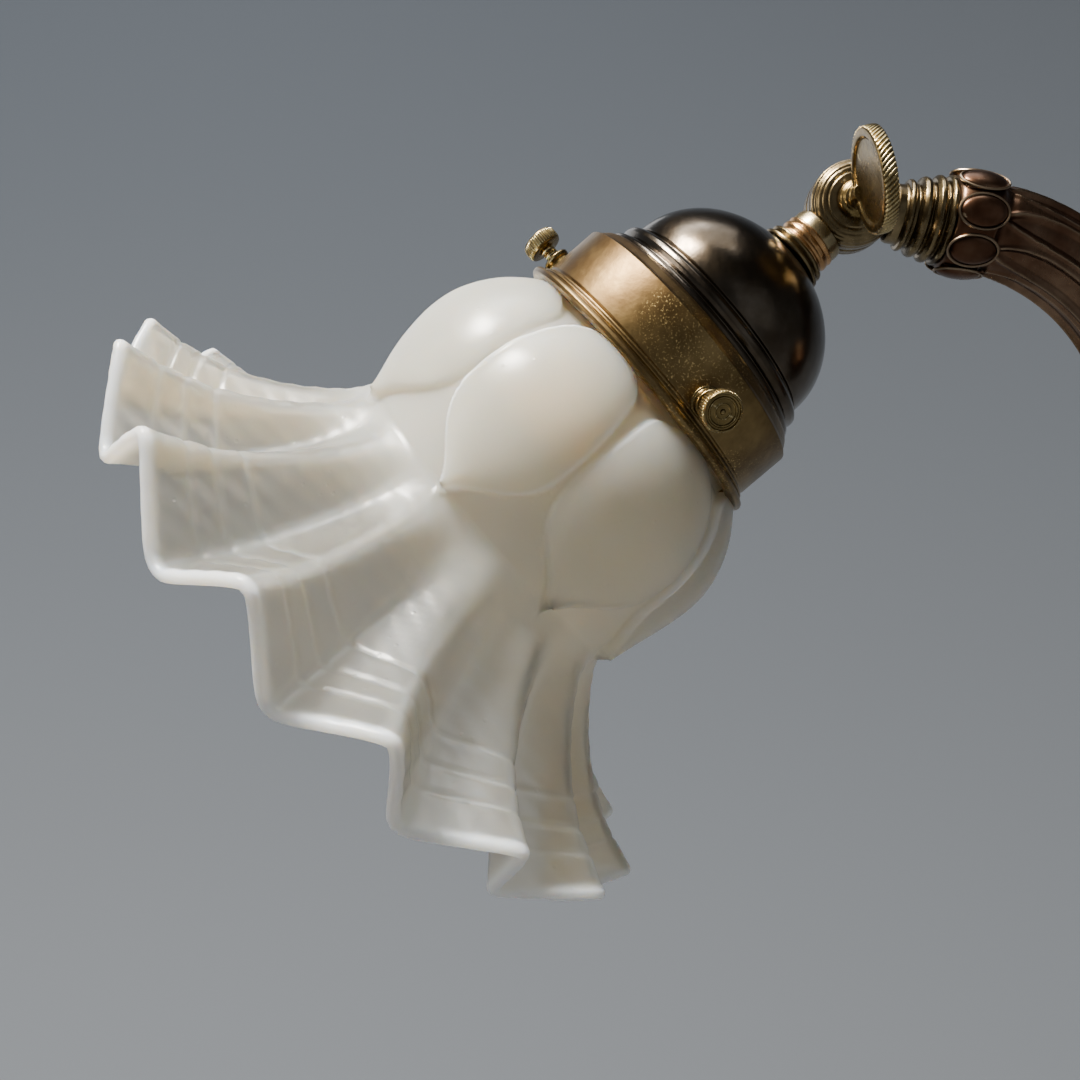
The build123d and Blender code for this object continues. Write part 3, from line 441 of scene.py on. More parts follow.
def metal(name, bright, deep, worn, rough, patch, fleck=(0.60, 0.68), wear=0.8, grime=0.5):
    """Old metal: patches of patina, rubbed flecks and edges, fine scratches in the gloss."""
    finish, build, surface = shader(name)
    patches = share(build, noise(build, patch, 5.0, 0.62), 0.34, 0.66)
    clouds = share(build, noise(build, patch * 3.1, 4.0, 0.6, shift=(3, 1, 2)), 0.3, 0.75)
    colour = blend(build, patches, bright, deep)
    dirt = tuple(c * 0.45 for c in deep)
    colour = blend(build, build.math("MULTIPLY", clouds, grime), colour, dirt)
    flecks = share(build, noise(build, patch * 52, 3.0, 0.7, shift=(7, 5, 1)), *fleck)
    where = share(build, noise(build, patch * 0.9, 2.0, 0.5, shift=(1, 8, 4)), 0.50, 0.64)
    flecks = build.math("MULTIPLY", flecks, where)
    point = build.add("ShaderNodeNewGeometry").outputs["Pointiness"]
    edges = build.math("MULTIPLY", share(build, point, 0.515, 0.60), wear)
    colour = blend(build, build.math("MAXIMUM", flecks, edges), colour, worn)
    scratch = noise(build, patch * 20, 3.0, 0.65, (1, 1, 0.12))
    gloss = build.math("MULTIPLY_ADD", patches, 0.07, rough)
    gloss = build.math("MULTIPLY_ADD", scratch, 0.10, gloss)
    dents = bumped(build, noise(build, patch * 5, 4.0, 0.6), 0.22, 0.00035)
    looks = {"Metallic": 1.0, "Base Color": colour, "Roughness": gloss, "Normal": dents}
    build.feed(surface, looks)
    return finish


def satin_glass():
    """Etched glass: milky, softly lit through and clearer in the frill, with painted highlights in bright cream
    along the petal edges, folds, grooves and rim.
    """
    glow = bpy.context.scene.sconce_finishes
    finish, build, surface = shader("satin_glass")
    clouds = share(build, noise(build, 30.0, 3.0, 0.5), 0.3, 0.7)
    milk = tuple(glow.glass_colour)
    colour = blend(build, clouds, milk, tuple(c * 0.965 for c in milk))
    crest = build.add("ShaderNodeAttribute", attribute_name="crest").outputs["Fac"]
    body = build.add("ShaderNodeAttribute", attribute_name="body").outputs["Fac"]
    # Painted highlight: the marked lines on the petal edges, folds, grooves and rim turn bright cream and lose
    # clearness.
    colour = blend(build, crest, colour, (1.0, 0.97, 0.87))
    clear = build.math("MULTIPLY_ADD", body, -0.30, glow.glass_clearness)
    clear = build.math("MAXIMUM", build.math("MULTIPLY_ADD", crest, -0.7, clear), 0.05)
    streaks = noise(build, 260.0, 3.0, 0.6, (1, 0.3, 0.3))
    laid = {"Vector": build.add("ShaderNodeTexCoord").outputs["Object"], "Scale": 330.0}
    specks = build.add("ShaderNodeTexVoronoi", laid).outputs["Distance"]
    pips = build.math("MULTIPLY", share(build, specks, 0.16, 0.06), 0.8)
    height = build.math("ADD", build.math("MULTIPLY", streaks, 0.35), pips)
    build.feed(surface, {
        "Base Color": colour, "Transmission Weight": clear, "Roughness": 0.30, "IOR": 1.46,
        "Subsurface Weight": 1.0, "Subsurface Radius": (1.0, 0.84, 0.64),
        "Subsurface Scale": 0.011, "Specular IOR Level": 0.38,
        "Normal": bumped(build, height, 0.20, 0.0003),
    })
    return finish


def plain(name, colour, rough, scale):
    """A moulded or glazed finish with a little unevenness."""
    finish, build, surface = shader(name)
    clouds = share(build, noise(build, scale, 4.0, 0.6), 0.3, 0.7)
    made = blend(build, clouds, colour, tuple(c * 0.86 for c in colour))
    fine = bumped(build, noise(build, scale * 12, 3.0, 0.6), 0.15, 0.0002)
    build.feed(surface, {"Base Color": made, "Roughness": rough, "Normal": fine})
    return finish


# Main colour (a setting or a colour), patina in the hollows, rubbed colour, roughness, and whatever
# differs from the usual patches, flecks and wear.
METALS = {
    "dark_bronze": (
        "bronze", (0.060, 0.043, 0.026), (0.36, 0.28, 0.18), 0.12,
        {"patch": 38, "fleck": (0.70, 0.78), "wear": 0.4},
    ),
    "aged_brass": (
        "brass", (0.10, 0.060, 0.024), (0.78, 0.56, 0.23), 0.24,
        {"patch": 42, "fleck": (0.56, 0.68), "wear": 1.0},
    ),
    "copper_gold": ("copper", (0.22, 0.11, 0.045), (0.95, 0.72, 0.44), 0.20, {"patch": 70}),
    "olive_brass": ("olive", (0.085, 0.057, 0.025), (0.50, 0.41, 0.24), 0.18, {"patch": 80}),
    "arm_patina": (
        "patina", (0.075, 0.031, 0.016), (0.38, 0.29, 0.19), 0.19,
        {"patch": 34, "fleck": (0.66, 0.74), "wear": 0.9, "grime": 0.6},
    ),
    "pale_brass": ("pale", (0.13, 0.085, 0.03), (0.74, 0.60, 0.32), 0.18, {"patch": 110}),
    "plated_steel": (
        (0.56, 0.56, 0.55), (0.40, 0.40, 0.40), (0.8, 0.8, 0.8), 0.3, {"patch": 90},
    ),
}
# Colour, roughness and the scale of its unevenness
PLAINS = {
    "porcelain": ((0.82, 0.79, 0.72), 0.22, 60),
    "wire_sheath": ((0.60, 0.52, 0.36), 0.6, 200),
    "block_plastic": ((0.80, 0.77, 0.70), 0.45, 90),
}
MADE = {}


def finish_named(name):
    """The finish of this name, made the first time it is asked for."""
    if name not in MADE:
        if name == "satin_glass":
            MADE[name] = satin_glass()
        elif name in METALS:
            bright, deep, worn, rough, differences = METALS[name]
            if isinstance(bright, str):
                bright = tuple(getattr(bpy.context.scene.sconce_finishes, bright))
            MADE[name] = metal(name, bright, deep, worn, rough, **differences)
        else:
            MADE[name] = plain(name, *PLAINS[name])
    return MADE[name]


# ---- settings
def length(name, description, size):
    """A length setting, from millimetres."""
    return FloatProperty(name=name, description=description, default=size * MM, unit="LENGTH")


def count(name, description, number):
    """A whole number setting."""
    return IntProperty(name=name, description=description, default=number)


def power(name, description, watts):
    """A light's power setting."""
    return FloatProperty(name=name, description=description, default=watts, unit="POWER")


def tint(name, description, colour):
    """A colour setting."""
    return FloatVectorProperty(
        name=name, description=description, subtype="COLOR", default=colour
    )


class SconceShadeSettings(bpy.types.PropertyGroup):
    """Sizes of the glass shade."""

    glass: length("Glass", "Wall of the glass", 2.0)
    petals: count("Petals", "Pillowed petals round the body", 8)
    petal_rise: length("Petal Rise", "How far a petal stands out", 3.1)
    pleats: count("Pleats", "Folds round the frill", 15)
    corner: FloatProperty(
        name="Fold Sharpness", description="From a soft wave to, at 1, a knife fold",
        default=0.92, min=0.1, max=0.98,
    )
    groove: length("Groove", "Depth of the rings near the rim", 0.36)


class SconceHeadSettings(bpy.types.PropertyGroup):
    """Sizes of the shade screws."""

    screw_head: length("Screw Head", "Radius of a shade screw's head", 4.0)
    knurls: count("Knurls", "Ridges round a screw head", 44)
    thread_pitch: length("Thread Pitch", "Pitch of the shade screws", 0.7)


class SconceArmSettings(bpy.types.PropertyGroup):
    """Sizes of the cast arm and the knuckle."""

    panels: count("Panels", "Sunken panels round the arm", 8)
    panel_depth: length("Panel Depth", "How far a panel is sunk", 0.95)
    rib: length("Rib", "Height of the rib round a panel", 0.42)
    cabochons: count("Cabochons", "Oval bosses round a collar", 8)
    milling: count("Milling", "Ridges round the clamp screw's coin", 64)


class SconceFinishSettings(bpy.types.PropertyGroup):
    """Colours of the glass and the metals."""

    glass_colour: tint("Glass", "Milky body of the glass", (0.965, 0.888, 0.745))
    glass_clearness: FloatProperty(
        name="Clearness", description="How much of the light goes through the frill",
        default=0.94, min=0, max=1,
    )
    bronze: tint("Bronze", "The dome's dark patina", (0.135, 0.112, 0.088))
    brass: tint("Brass", "The gallery's aged brass", (0.26, 0.178, 0.074))
    copper: tint("Copper", "The neck's warm brass", (0.62, 0.36, 0.16))
    olive: tint("Olive", "The knuckle's old brass", (0.265, 0.20, 0.105))
    patina: tint("Patina", "The arm's red-brown patina", (0.21, 0.135, 0.085))
    pale: tint("Pale", "Bare brass of the screws", (0.30, 0.215, 0.085))


class SconceStageSettings(bpy.types.PropertyGroup):
    """The floor, the light and the camera."""

    floor_colour: tint("Floor", "Colour of the floor", (0.15, 0.162, 0.18))
    key_power: power("Key", "Power of the main light", 92.0)
    fill_power: power("Fill", "Power of the fill light", 1.0)
    wall_power: power("Wall", "Power of the light on the backdrop", 50.0)
    room_power: power("Room", "Power of the light overhead", 75.0)
    lens: FloatProperty(
        name="Lens", description="Focal length in millimetres",
        default=34.97, subtype="DISTANCE_CAMERA",
    )


# ---- glass shade
BODY_LINE = (
    (28.4, 0.8), (31.2, 2.4), (36.2, 8.0), (39.4, 14.5), (40.4, 20.5), (40.0, 27.0), (38.9, 34.5),
    (38.1, 41.0),
)
FOLD_OUT_LINE = (
    (38.1, 41.0), (40.2, 45.0), (43.6, 49.0), (48.4, 53.6), (53.7, 57.8), (60.0, 61.7),
    (67.0, 64.7), (78.1, 67.55),
)
FOLD_IN_LINE = (
    (38.1, 41.0), (39.3, 46.0), (42.5, 53.0), (46.5, 59.0), (51.5, 65.0), (57.5, 70.8),
    (64.2, 75.8), (70.7, 80.1),
)
PETAL_EDGE = (
    (0.8, 0.0), (1.5, 9.0), (2.5, 14.0), (4.5, 17.2), (10.0, 18.6), (17.0, 19.4), (22.0, 19.4),
    (26.0, 18.8), (29.5, 17.0), (33.0, 13.0), (36.0, 7.8), (38.3, 4.2), (40.5, 1.8), (42.5, 0.0),
)
PETAL_TURN = radians(11.5)
PLEAT_TURN = radians(-2.7)
COLLAR_LINE = ((29.8, -13.0), (29.8, -9.0), (29.6, -8.8), (28.6, -8.2), (28.4, -7.9))
COLUMNS_PER_PLEAT = 30
BODY_ROWS = 88
FRILL_RUN = 51.0  # length down the frill
RING_GROOVES = (7.4, 12.6, 18.5)  # back from the rim
GROOVE_WIDTH = 0.55
WAIST_CORNER = 0.2  # sharpness of the folds where the frill begins
REAR_REACH = 1.24  # how much wider a petal underneath is
LIP_RUN = 0.9  # how far in from its edge a petal's lip rises
# A petal's edge ridge: its height, its place in from the edge and its width; the same line carries the painted
# highlight.
EDGE_RIDGE, EDGE_AT, EDGE_WIDTH = 0.42, 0.6, 0.45


def eased(amount):
    """A 0 to 1 amount that starts and ends gently."""
    return amount * amount * (3 - 2 * amount)


def petal_height(u, angle, points, rise, petals):
    """Height of the petals over the body, and a painted highlight line just inside each petal's edge."""
    table = smooth_line(PETAL_EDGE, 6)
    half = np.interp(u, table[:, 0], table[:, 1], left=0, right=0)
    down_step = np.linalg.norm(np.gradient(points, axis=0), axis=2)
    side_step = np.linalg.norm(np.roll(points, -1, 1) - points, axis=2)
    pitch = 2 * pi / petals
    number = np.round((angle - PETAL_TURN) / pitch)
    over = np.zeros_like(u)
    crest = np.zeros_like(u)
    # Every other petal lies on top, and its neighbours reach out wider beneath it.
    for step in (-1, 0, 1):
        which = number + step
        front = (np.mod(which, 2) == 0).astype(float)
        width = np.maximum(half * (REAR_REACH - (REAR_REACH - 1) * front), 0.05)
        off = np.degrees(np.abs(angle - PETAL_TURN - which * pitch)) / width
        inside = 1 - off**2
        slope_down = np.gradient(np.clip(inside, -2, 1), axis=0) / down_step
        slope_round = 2 * off / width * np.degrees(2 * pi / u.shape[1]) / side_step
        slope = np.hypot(slope_down, slope_round)
        reach = np.clip(inside, 0, 1) / np.maximum(slope, 1e-3)
        lip = eased(np.clip(reach / LIP_RUN, 0, 1))
        dome = np.clip(inside, 0, 1) ** 0.55
        pillow = (0.12 + 0.12 * front) * lip + (0.78 - 0.06 * (1 - front)) * dome
        edge = np.exp(-(((reach - EDGE_AT) / EDGE_WIDTH) ** 2)) * (inside > 0)
        edge = edge * (0.35 + 0.65 * front)
        height = rise * (half > 0.02) * pillow + EDGE_RIDGE * edge
        # Where this petal lies on top, its edge line becomes the painted highlight.
        crest = np.where(height > over, edge, crest)
        over = np.maximum(over, height)
    return over, crest


def shade_mesh(settings):
    """The shade's closed glass wall, with a painted highlight attribute and a body attribute for its finish."""
    columns = settings.pleats * COLUMNS_PER_PLEAT
    angle = np.arange(columns) * 2 * pi / columns
    body = smooth_line(BODY_LINE)
    out_line = smooth_line(FOLD_OUT_LINE)
    in_line = smooth_line(FOLD_IN_LINE)
    # Rows: down the body, then down the frill, closer together near the rim.
    body_rows = np.linspace(0, 1, BODY_ROWS)
    frill_rows = np.concatenate([np.linspace(0, 0.58, 24)[1:], np.linspace(0.58, 1, 39)[1:]])
    wobble = 0.10 * np.sin(2 * angle + 0.8) + 0.09 * np.sin(5 * angle + 2.1)
    wobble = wobble + 0.07 * np.sin(9 * angle)
    phase = np.cos(settings.pleats * (angle - PLEAT_TURN) + wobble + pi)
    ease = eased(np.clip(frill_rows * 1.5, 0, 1)[:, None])
    corner = WAIST_CORNER + (settings.corner - WAIST_CORNER) * ease
    wave = 0.5 + 0.5 * np.arcsin(corner * phase[None, :]) / np.arcsin(corner)

    top = np.concatenate([np.array(COLLAR_LINE), along(body, body_rows)])
    radius = np.repeat(top[:, :1], columns, 1)
    drop = np.repeat(top[:, 1:2], columns, 1)
    outs = along(out_line, frill_rows)
    ins = along(in_line, frill_rows)
    swell = 1 + 0.03 * np.sin(3 * angle + 1.0) + 0.02 * np.sin(7 * angle)
    mix = np.clip(0.5 + (wave - 0.5) * swell[None, :], 0, 1)
    frill_r = ins[:, :1] + (outs[:, :1] - ins[:, :1]) * mix
    frill_u = ins[:, 1:2] + (outs[:, 1:2] - ins[:, 1:2]) * mix
    lift = 0.7 * np.sin(2 * angle + 0.5) + 0.4 * np.sin(4 * angle)
    frill_u = frill_u + (frill_rows[:, None] ** 2) * lift[None]
    radius = np.concatenate([radius, frill_r])
    drop = np.concatenate([drop, frill_u])
    turn = np.repeat(angle[None, :], len(radius), 0)

    points = np.stack([radius * np.cos(turn), radius * np.sin(turn), drop + GALLERY_END], -1)
    down = np.gradient(points, axis=0)
    round_ = np.roll(points, -1, 1) - np.roll(points, 1, 1)
    normal = np.cross(round_, down)
    normal /= np.linalg.norm(normal, axis=2, keepdims=True)

    height, crest = petal_height(drop, turn, points, settings.petal_rise / MM, settings.petals)
    height[len(top):] *= np.clip(1 - frill_rows[:, None] * 8, 0, 1)
    share_down = np.concatenate([np.zeros(len(top)), frill_rows])
    to_rim = (1 - share_down) * FRILL_RUN
    cut = sum(np.exp(-(((to_rim - place) / GROOVE_WIDTH) ** 2)) for place in RING_GROOVES)
    cut = cut * (share_down > 0.02) * settings.groove / MM
    rim_swell = 0.14 * np.exp(-((to_rim / 1.3) ** 2)) * (share_down > 0.5)
    ripple = 0.10 * np.sin(drop * 1.9 + 2 * np.sin(turn * 4)) * (share_down > 0.05)[:, None]
    outer = points + normal * (height - cut[:, None] + rim_swell[:, None] + ripple)[..., None]
    inner = points - normal * (settings.glass / MM + rim_swell[:, None] - 0.55 * height)[..., None]

    middle, half = (outer[-1] + inner[-1]) / 2, (outer[-1] - inner[-1]) / 2
    ahead = down[-1] / np.linalg.norm(down[-1], axis=1, keepdims=True)
    reach = np.linalg.norm(half, axis=1, keepdims=True)
    rim = [middle + half * cos(a) + ahead * reach * sin(a) for a in np.linspace(0, pi, 7)[1:-1]]
    keep = [0, 1, *range(2, len(inner), 3)]
    if keep[-1] != len(inner) - 1:
        keep.append(len(inner) - 1)
    rows = [*outer, *rim, *inner[keep[::-1]]]
    faces = grid_faces(len(rows), columns, True)
    mesh = mesh_of("satin_shade", np.concatenate(rows) * MM, faces)
    mesh.transform(HEAD)

    # Painted highlights: bright lines along the frill's folds, round the rim and, fainter, in the grooves, on top
    # of the petals' painted edge lines.
    rim_light = np.exp(-((to_rim / 0.9) ** 2)) * (share_down > 0.5)
    fold_light = np.clip((np.abs(mix - 0.5) - 0.40) / 0.1, 0, 1) * frill_rows[:, None] * 0.35
    crest[len(top):] = np.maximum(crest[len(top):] * 0, fold_light)
    crest = np.maximum(crest * 0.8, np.maximum(rim_light, cut / cut.max() * 0.22)[:, None])
    solid = np.repeat(np.clip(1 - share_down * 3.2, 0, 1)[:, None], columns, 1)
    for name, values in (("crest", crest), ("body", solid)):
        # The rounded rim rows between the two walls are painted as full highlight.
        blank = np.full((len(rim), columns), 1.0 if name == "crest" else 0.0)
        whole = np.concatenate([values, blank, values[keep[::-1]]])
        layer = mesh.attributes.new(name, "FLOAT", "POINT")
        layer.data.foreach_set("value", whole.astype(np.float32).ravel())
    with opened(mesh) as shape:
        bmesh.ops.recalc_face_normals(shape, faces=shape.faces)
    mesh.shade_smooth()
    return mesh


class SCONCE_OT_shade(bpy.types.Operator):
    """Blow the petalled glass shade and fold its frill"""

    bl_idname = "sconce.shade"
    bl_label = "Glass Shade"

    def execute(self, context):
        mesh = shade_mesh(context.scene.sconce_shade)
        piece("satin_shade", mesh, "head", "satin_glass", ("glass_shade",))
        return {"FINISHED"}


# ---- dome, gallery, neck
DOME_R = 25.5
DOME_CURVE = 20.35  # height of the whole ellipse that the dome is cut from
DOME_STATIONS = np.linspace(DOME_TOP, DOME_BASE, 40)
DOME_OUTLINE = (
    *((DOME_R * (1 - ((DOME_BASE - t) / DOME_CURVE) ** 2) ** 0.5, t) for t in DOME_STATIONS),
    (25.5, 37.6), (25.1, 37.9), (25.2, 38.3), (26.5, 38.5), (27.25, 39.2), (27.35, 40.2),
    (26.9, 41.1), (26.6, 41.5), (26.8, 41.8), (28.1, 42.0), (28.5, 42.6), (28.5, FLANGE_END),
    (26.7, FLANGE_END), (24.4, 38.0), (22.5, 30.0), (15.0, 21.0), (7.4, DOME_TOP + 1),
    (5.05, DOME_TOP + 1), (5.05, DOME_TOP),
)
GALLERY_OUTLINE = (
    (5.05, FLANGE_END), (28.9, FLANGE_END), (29.7, 43.9), (30.9, 45.4), (BAND_R, BAND_FROM),
    (BAND_R, 52.0), (BAND_R, 57.1), (31.4, 57.5), (31.5, 57.9), (32.3, 58.2), (32.5, 58.5),
    (32.2, 58.8), (32.6, 59.0), (33.7, 59.3), (34.0, 59.9), (33.8, 60.6), (33.0, GALLERY_END),
    (30.7, GALLERY_END), (30.7, 46.6), (27.9, 44.5), (5.05, 44.5),
)
NECK_OUTLINE = (
    (5.05, NECK_FROM), (6.3, NECK_FROM), (6.5, 11.0), (6.3, 11.5), (6.15, 11.8), (6.5, 12.1),
    (6.55, 12.8), (6.25, 13.2), (6.1, 13.6), (6.5, 13.9), (6.6, LOCK_RING_FROM),
    (5.05, LOCK_RING_FROM),
)
LOCK_RING_OUTLINE = (
    (5.05, LOCK_RING_FROM), (6.6, LOCK_RING_FROM), (7.3, 14.5), (7.5, 15.0), (7.2, 15.5),
    (6.8, 15.7), (7.5, 15.9), (8.0, 16.3), (8.0, 16.8), (7.7, DOME_TOP), (5.05, DOME_TOP),
)
BOSS_OUTLINE = (
    (1.66, 31.3), (3.3, 31.3), (3.3, 31.95), (2.85, 32.2), (2.7, 33.2), (2.95, 33.5), (3.1, 33.9),
    (3.1, 34.35), (2.9, 34.6), (2.0, 34.6), (1.66, 34.4),
)

# Piece, outline, rounding of its corners, steps round, finish, the node it stands for
HEAD_PIECES = (
    ("dome_cap", DOME_OUTLINE, 0.25, 192, "dark_bronze", "dome"),
    ("gallery_band", GALLERY_OUTLINE, 0.18, 192, "aged_brass", "gallery"),
    ("turned_neck", NECK_OUTLINE, 0.15, 96, "copper_gold", "neck"),
    ("neck_ring", LOCK_RING_OUTLINE, 0.2, 96, "olive_brass", "lock_ring"),
)


def screw_spots():
    """The axis of each shade screw, in order, with the axis square to the head."""
    spots = []
    for number in (1, 2, 3):
        direction = Vector(JOINTS[f"shade_screw_{number}_turn"]["axis"]).normalized()
        spots.append(spindle(KNUCKLE + HEAD_DIR * SCREW_AT * MM, direction, HEAD_DIR))
    return spots


class SCONCE_OT_head(bpy.types.Operator):
    """Turn the dome, the gallery, the neck and its lock ring"""

    bl_idname = "sconce.head"
    bl_label = "Dome and Gallery"

    def execute(self, context):
        for name, outline, rounding, steps, finish, node in HEAD_PIECES:
            mesh = turned_ring(name, outline, rounding, HEAD, steps)
            piece(name, mesh, "head", finish, (node,))
        bosses = [turned_ring("boss", BOSS_OUTLINE, 0.15, spot, 64) for spot in screw_spots()]
        mesh = gathered("screw_boss_rings", bosses)
        piece("screw_boss_rings", mesh, "head", "pale_brass", ("screw_bosses",))
        return {"FINISHED"}


# ---- shade screws
def shade_screw_mesh(name, spot, settings):
    """A thumbscrew: threaded shank, small collar, knurled head with a turned face."""
    head_r = settings.screw_head / MM
    outline = [
        (0.0, 28.65), (1.1, 28.65), (1.42, 29.1), (1.42, 37.1), (2.0, 37.4), (3.3, 37.5),
        (head_r - 0.25, 37.6), (head_r - 0.12, 38.0), (head_r - 0.12, 40.2), (head_r - 0.25, 40.6),
        (3.45, 40.7), (3.3, 40.3), (2.95, 40.25), (2.8, 40.5), (2.55, 40.5), (2.4, 40.2),
        (1.7, 40.2), (1.6, 40.32), (1.35, 40.32), (1.25, 40.18), (0.55, 40.14), (0.4, 40.5),
        (0.0, 40.66),
    ]
    body = turned(name, softened(outline, 0.1, steps=3), spot, 96)
    knurls = studs(
        name, "pale_brass", raised(spot, 39.1), settings.knurls,
        settings.screw_head - 0.16 * MM, (0.22, 0.23, 1.25), 8,
    )
    wound = thread(
        name, "pale_brass", raised(spot, 29.4),
        1.40 * MM, settings.thread_pitch, 7.7 * MM, 0.24 * MM,
    )
    return gathered(name, [body, knurls, wound])


class SCONCE_OT_shade_screws(bpy.types.Operator):
    """Cut the three shade screws"""

    bl_idname = "sconce.shade_screws"
    bl_label = "Shade Screws"

    def execute(self, context):
        for number, spot in enumerate(screw_spots(), start=1):
            name = f"thumb_screw_{number}"
            mesh = shade_screw_mesh(name, spot, context.scene.sconce_head)
            piece(name, mesh, f"shade_screw_{number}", "pale_brass", (f"shade_screw_{number}",))
        return {"FINISHED"}


# ---- knuckle
def drum_outline(side):
    """A knuckle drum's half section, on one side of the joint."""
    outline = [
        (2.05, DRUM_IN), (9.0, DRUM_IN), (9.2, 0.6), (9.2, 2.6), (9.05, 2.85), (9.15, 3.1),
        (9.1, 3.9), (8.8, 4.15), (8.75, 4.5), (8.5, 4.9), (8.1, 5.1), (8.0, 5.35), (7.6, 5.65),
        (7.1, 5.75), (6.9, 5.95), (6.4, 6.1), (5.9, 6.1), (5.7, 6.3), (5.0, 6.45), (4.4, DRUM_OUT),
        (2.05, DRUM_OUT),
    ]
    return [(r, side * x) for r, x in outline]


STEM_OUTLINE = (
    (0.0, 8.2), (5.9, 8.2), (6.2, 9.0), (6.2, 10.4), (6.5, 10.8), (7.3, 11.0), (7.5, 11.5),
    (7.3, 12.0), (6.7, 12.2), (6.6, 12.9), (7.3, 13.2), (8.1, 13.6), (8.4, 14.3), (8.2, 15.0),
    (7.5, 15.4), (7.4, 15.8), (8.3, 16.1), (9.0, 16.7), (9.1, 17.3), (8.8, 17.9), (8.1, 18.2),
    (8.0, 18.6), (8.9, 18.9), (9.3, 19.3), (9.3, COLLAR_AT), (0.0, COLLAR_AT),
)
STUB_OUTLINE = ((0.0, 8.2), (6.0, 8.2), (6.2, 9.0), (6.2, NECK_FROM), (0.0, NECK_FROM))
COLLAR_OUTLINE = (
    (2.05, 6.63), (3.9, 6.63), (4.1, 7.0), (4.0, 7.5), (3.7, 7.9), (3.2, 8.2), (2.9, 8.63),
    (2.05, 8.63),
)
COIN_FACE = (
    (0.0, 0.72), (4.0, 0.74), (7.2, 0.86), (8.0, 0.95), (8.3, 1.15), (8.6, 1.42), (9.2, 1.5),
    (9.9, 1.45), (10.15, 1.2), (10.2, 0.6),
)
SHANK_OUTLINE = (
    (0.0, -10.6), (1.7, -10.6), (1.98, -10.2), (1.98, 8.7), (2.6, 8.8), (2.9, 9.2), (2.6, 9.9),
    (2.2, 10.3), (2.0, 11.6), (0.0, 11.6),
)


def trimmed(mesh, place, depth):
    """What lies beyond a depth along a place's axis of a mesh, cut off square and closed."""
    level = place @ Vector((0, 0, depth * MM))
    axis = place.to_3x3() @ Vector((0, 0, 1))
    with opened(mesh) as shape:
        whole = [*shape.verts, *shape.edges, *shape.faces]
        cut = bmesh.ops.bisect_plane(
            shape, geom=whole, plane_co=level, plane_no=axis, clear_inner=True, clear_outer=False
        )
        edges = [part for part in cut["geom_cut"] if isinstance(part, bmesh.types.BMEdge)]
        bmesh.ops.holes_fill(shape, edges=edges)
        bmesh.ops.recalc_face_normals(shape, faces=shape.faces)
    return mesh


def coin_screw_mesh(settings):
    """The clamp screw: a coin with a milled edge on a threaded shank."""
    outline = [*COIN_FACE, *((r, -z) for r, z in reversed(COIN_FACE))]
    coin = turned("coin", softened(outline, 0.12), COIN, 160)
    rope = studs(
        "coin_rope", "pale_brass", COIN, settings.milling, 10.12 * MM, (0.38, 0.36, 1.75), 10,
        radians(38),
    )
    stem = turned("shank", softened(SHANK_OUTLINE, 0.15), TILT, 64)
    wound = thread(
        "clamp_thread", "pale_brass", raised(TILT, -10.3),
        1.82 * MM, 0.7 * MM, 3.6 * MM, 0.17 * MM,
    )
    return gathered("coin_screw", [coin, rope, stem, wound])


class SCONCE_OT_knuckle(bpy.types.Operator):
    """Turn the knuckle's two drums, its collar and the coin-headed clamp screw"""

    bl_idname = "sconce.knuckle"
    bl_label = "Knuckle"

    def execute(self, context):
        rear = turned_ring("rear_drum", drum_outline(-1), 0.12, TILT, 144)
        stem = turned("ringed_stem", softened(STEM_OUTLINE, 0.15), STEM, 128)
        mesh = gathered("ringed_stem", [rear, stem])
        piece("ringed_stem", mesh, "arm", "olive_brass", ("knuckle_arm_half",))
        front = turned_ring("front_drum", drum_outline(1), 0.12, TILT, 144)
        stub = trimmed(turned("stub", STUB_OUTLINE, HEAD, 96), TILT, -DRUM_OUT)
        mesh = gathered("front_drum", [front, stub])
        piece("front_drum", mesh, "head", "olive_brass", ("knuckle_head_half",))
        mesh = turned_ring("bright_collar", COLLAR_OUTLINE, 0.2, TILT, 64)
        piece("bright_collar", mesh, "head", "pale_brass", ("screw_collar",))
        mesh = coin_screw_mesh(context.scene.sconce_arm)
        piece("coin_screw", mesh, "knuckle_screw", "pale_brass", ("knuckle_screw",))
        return {"FINISHED"}


# ---- arm
ARM_R = 9.2
ARCH_R = 48.0
UPRIGHT_L = 22.0
BEND_R = 36.0
STEM_L = 24.9
COLLAR_L = 10.0
PANEL_FROM = 8.6  # from either end of the arm
# Half a panel's width in degrees, at distances from the arm's nearer end
PANEL_PLACES = (0, PANEL_FROM, 10.5, 13, 17, 22)
PANEL_HALVES = (0, 0, 4.0, 9.5, 14.0, 16.2)
PANEL_SLOPE = 1.1
STEPS_PER_PANEL = 26


def arm_path(step=0.6):
    """Centres and slopes down the arm, in the plane X = 0, from its upper collar to its foot."""
    start = np.array([KNUCKLE.y, KNUCKLE.z]) / MM
    lean = np.array([cos(STEM_DROP), -sin(STEM_DROP)])
    places = []
    for d in np.arange(COLLAR_AT, STEM_L, step):
        places.append((*(start + lean * d), -STEM_DROP))
    centre = start + lean * STEM_L + ARCH_R * np.array([-sin(STEM_DROP), -cos(STEM_DROP)])
    for a in np.linspace(-STEM_DROP, -pi / 2, int(ARCH_R * (pi / 2 - STEM_DROP) / step)):
        places.append((*(centre + ARCH_R * np.array([-sin(a), cos(a)])), a))
    y, z = places[-1][:2]
    for d in np.arange(step, UPRIGHT_L, step):
        places.append((y, z - d, -pi / 2))
    z -= UPRIGHT_L
    for a in np.linspace(0, pi / 2, int(BEND_R * pi / 2 / step)):
        places.append((y + BEND_R * (1 - cos(a)), z - BEND_R * sin(a), a - pi / 2))
    return np.array(places)


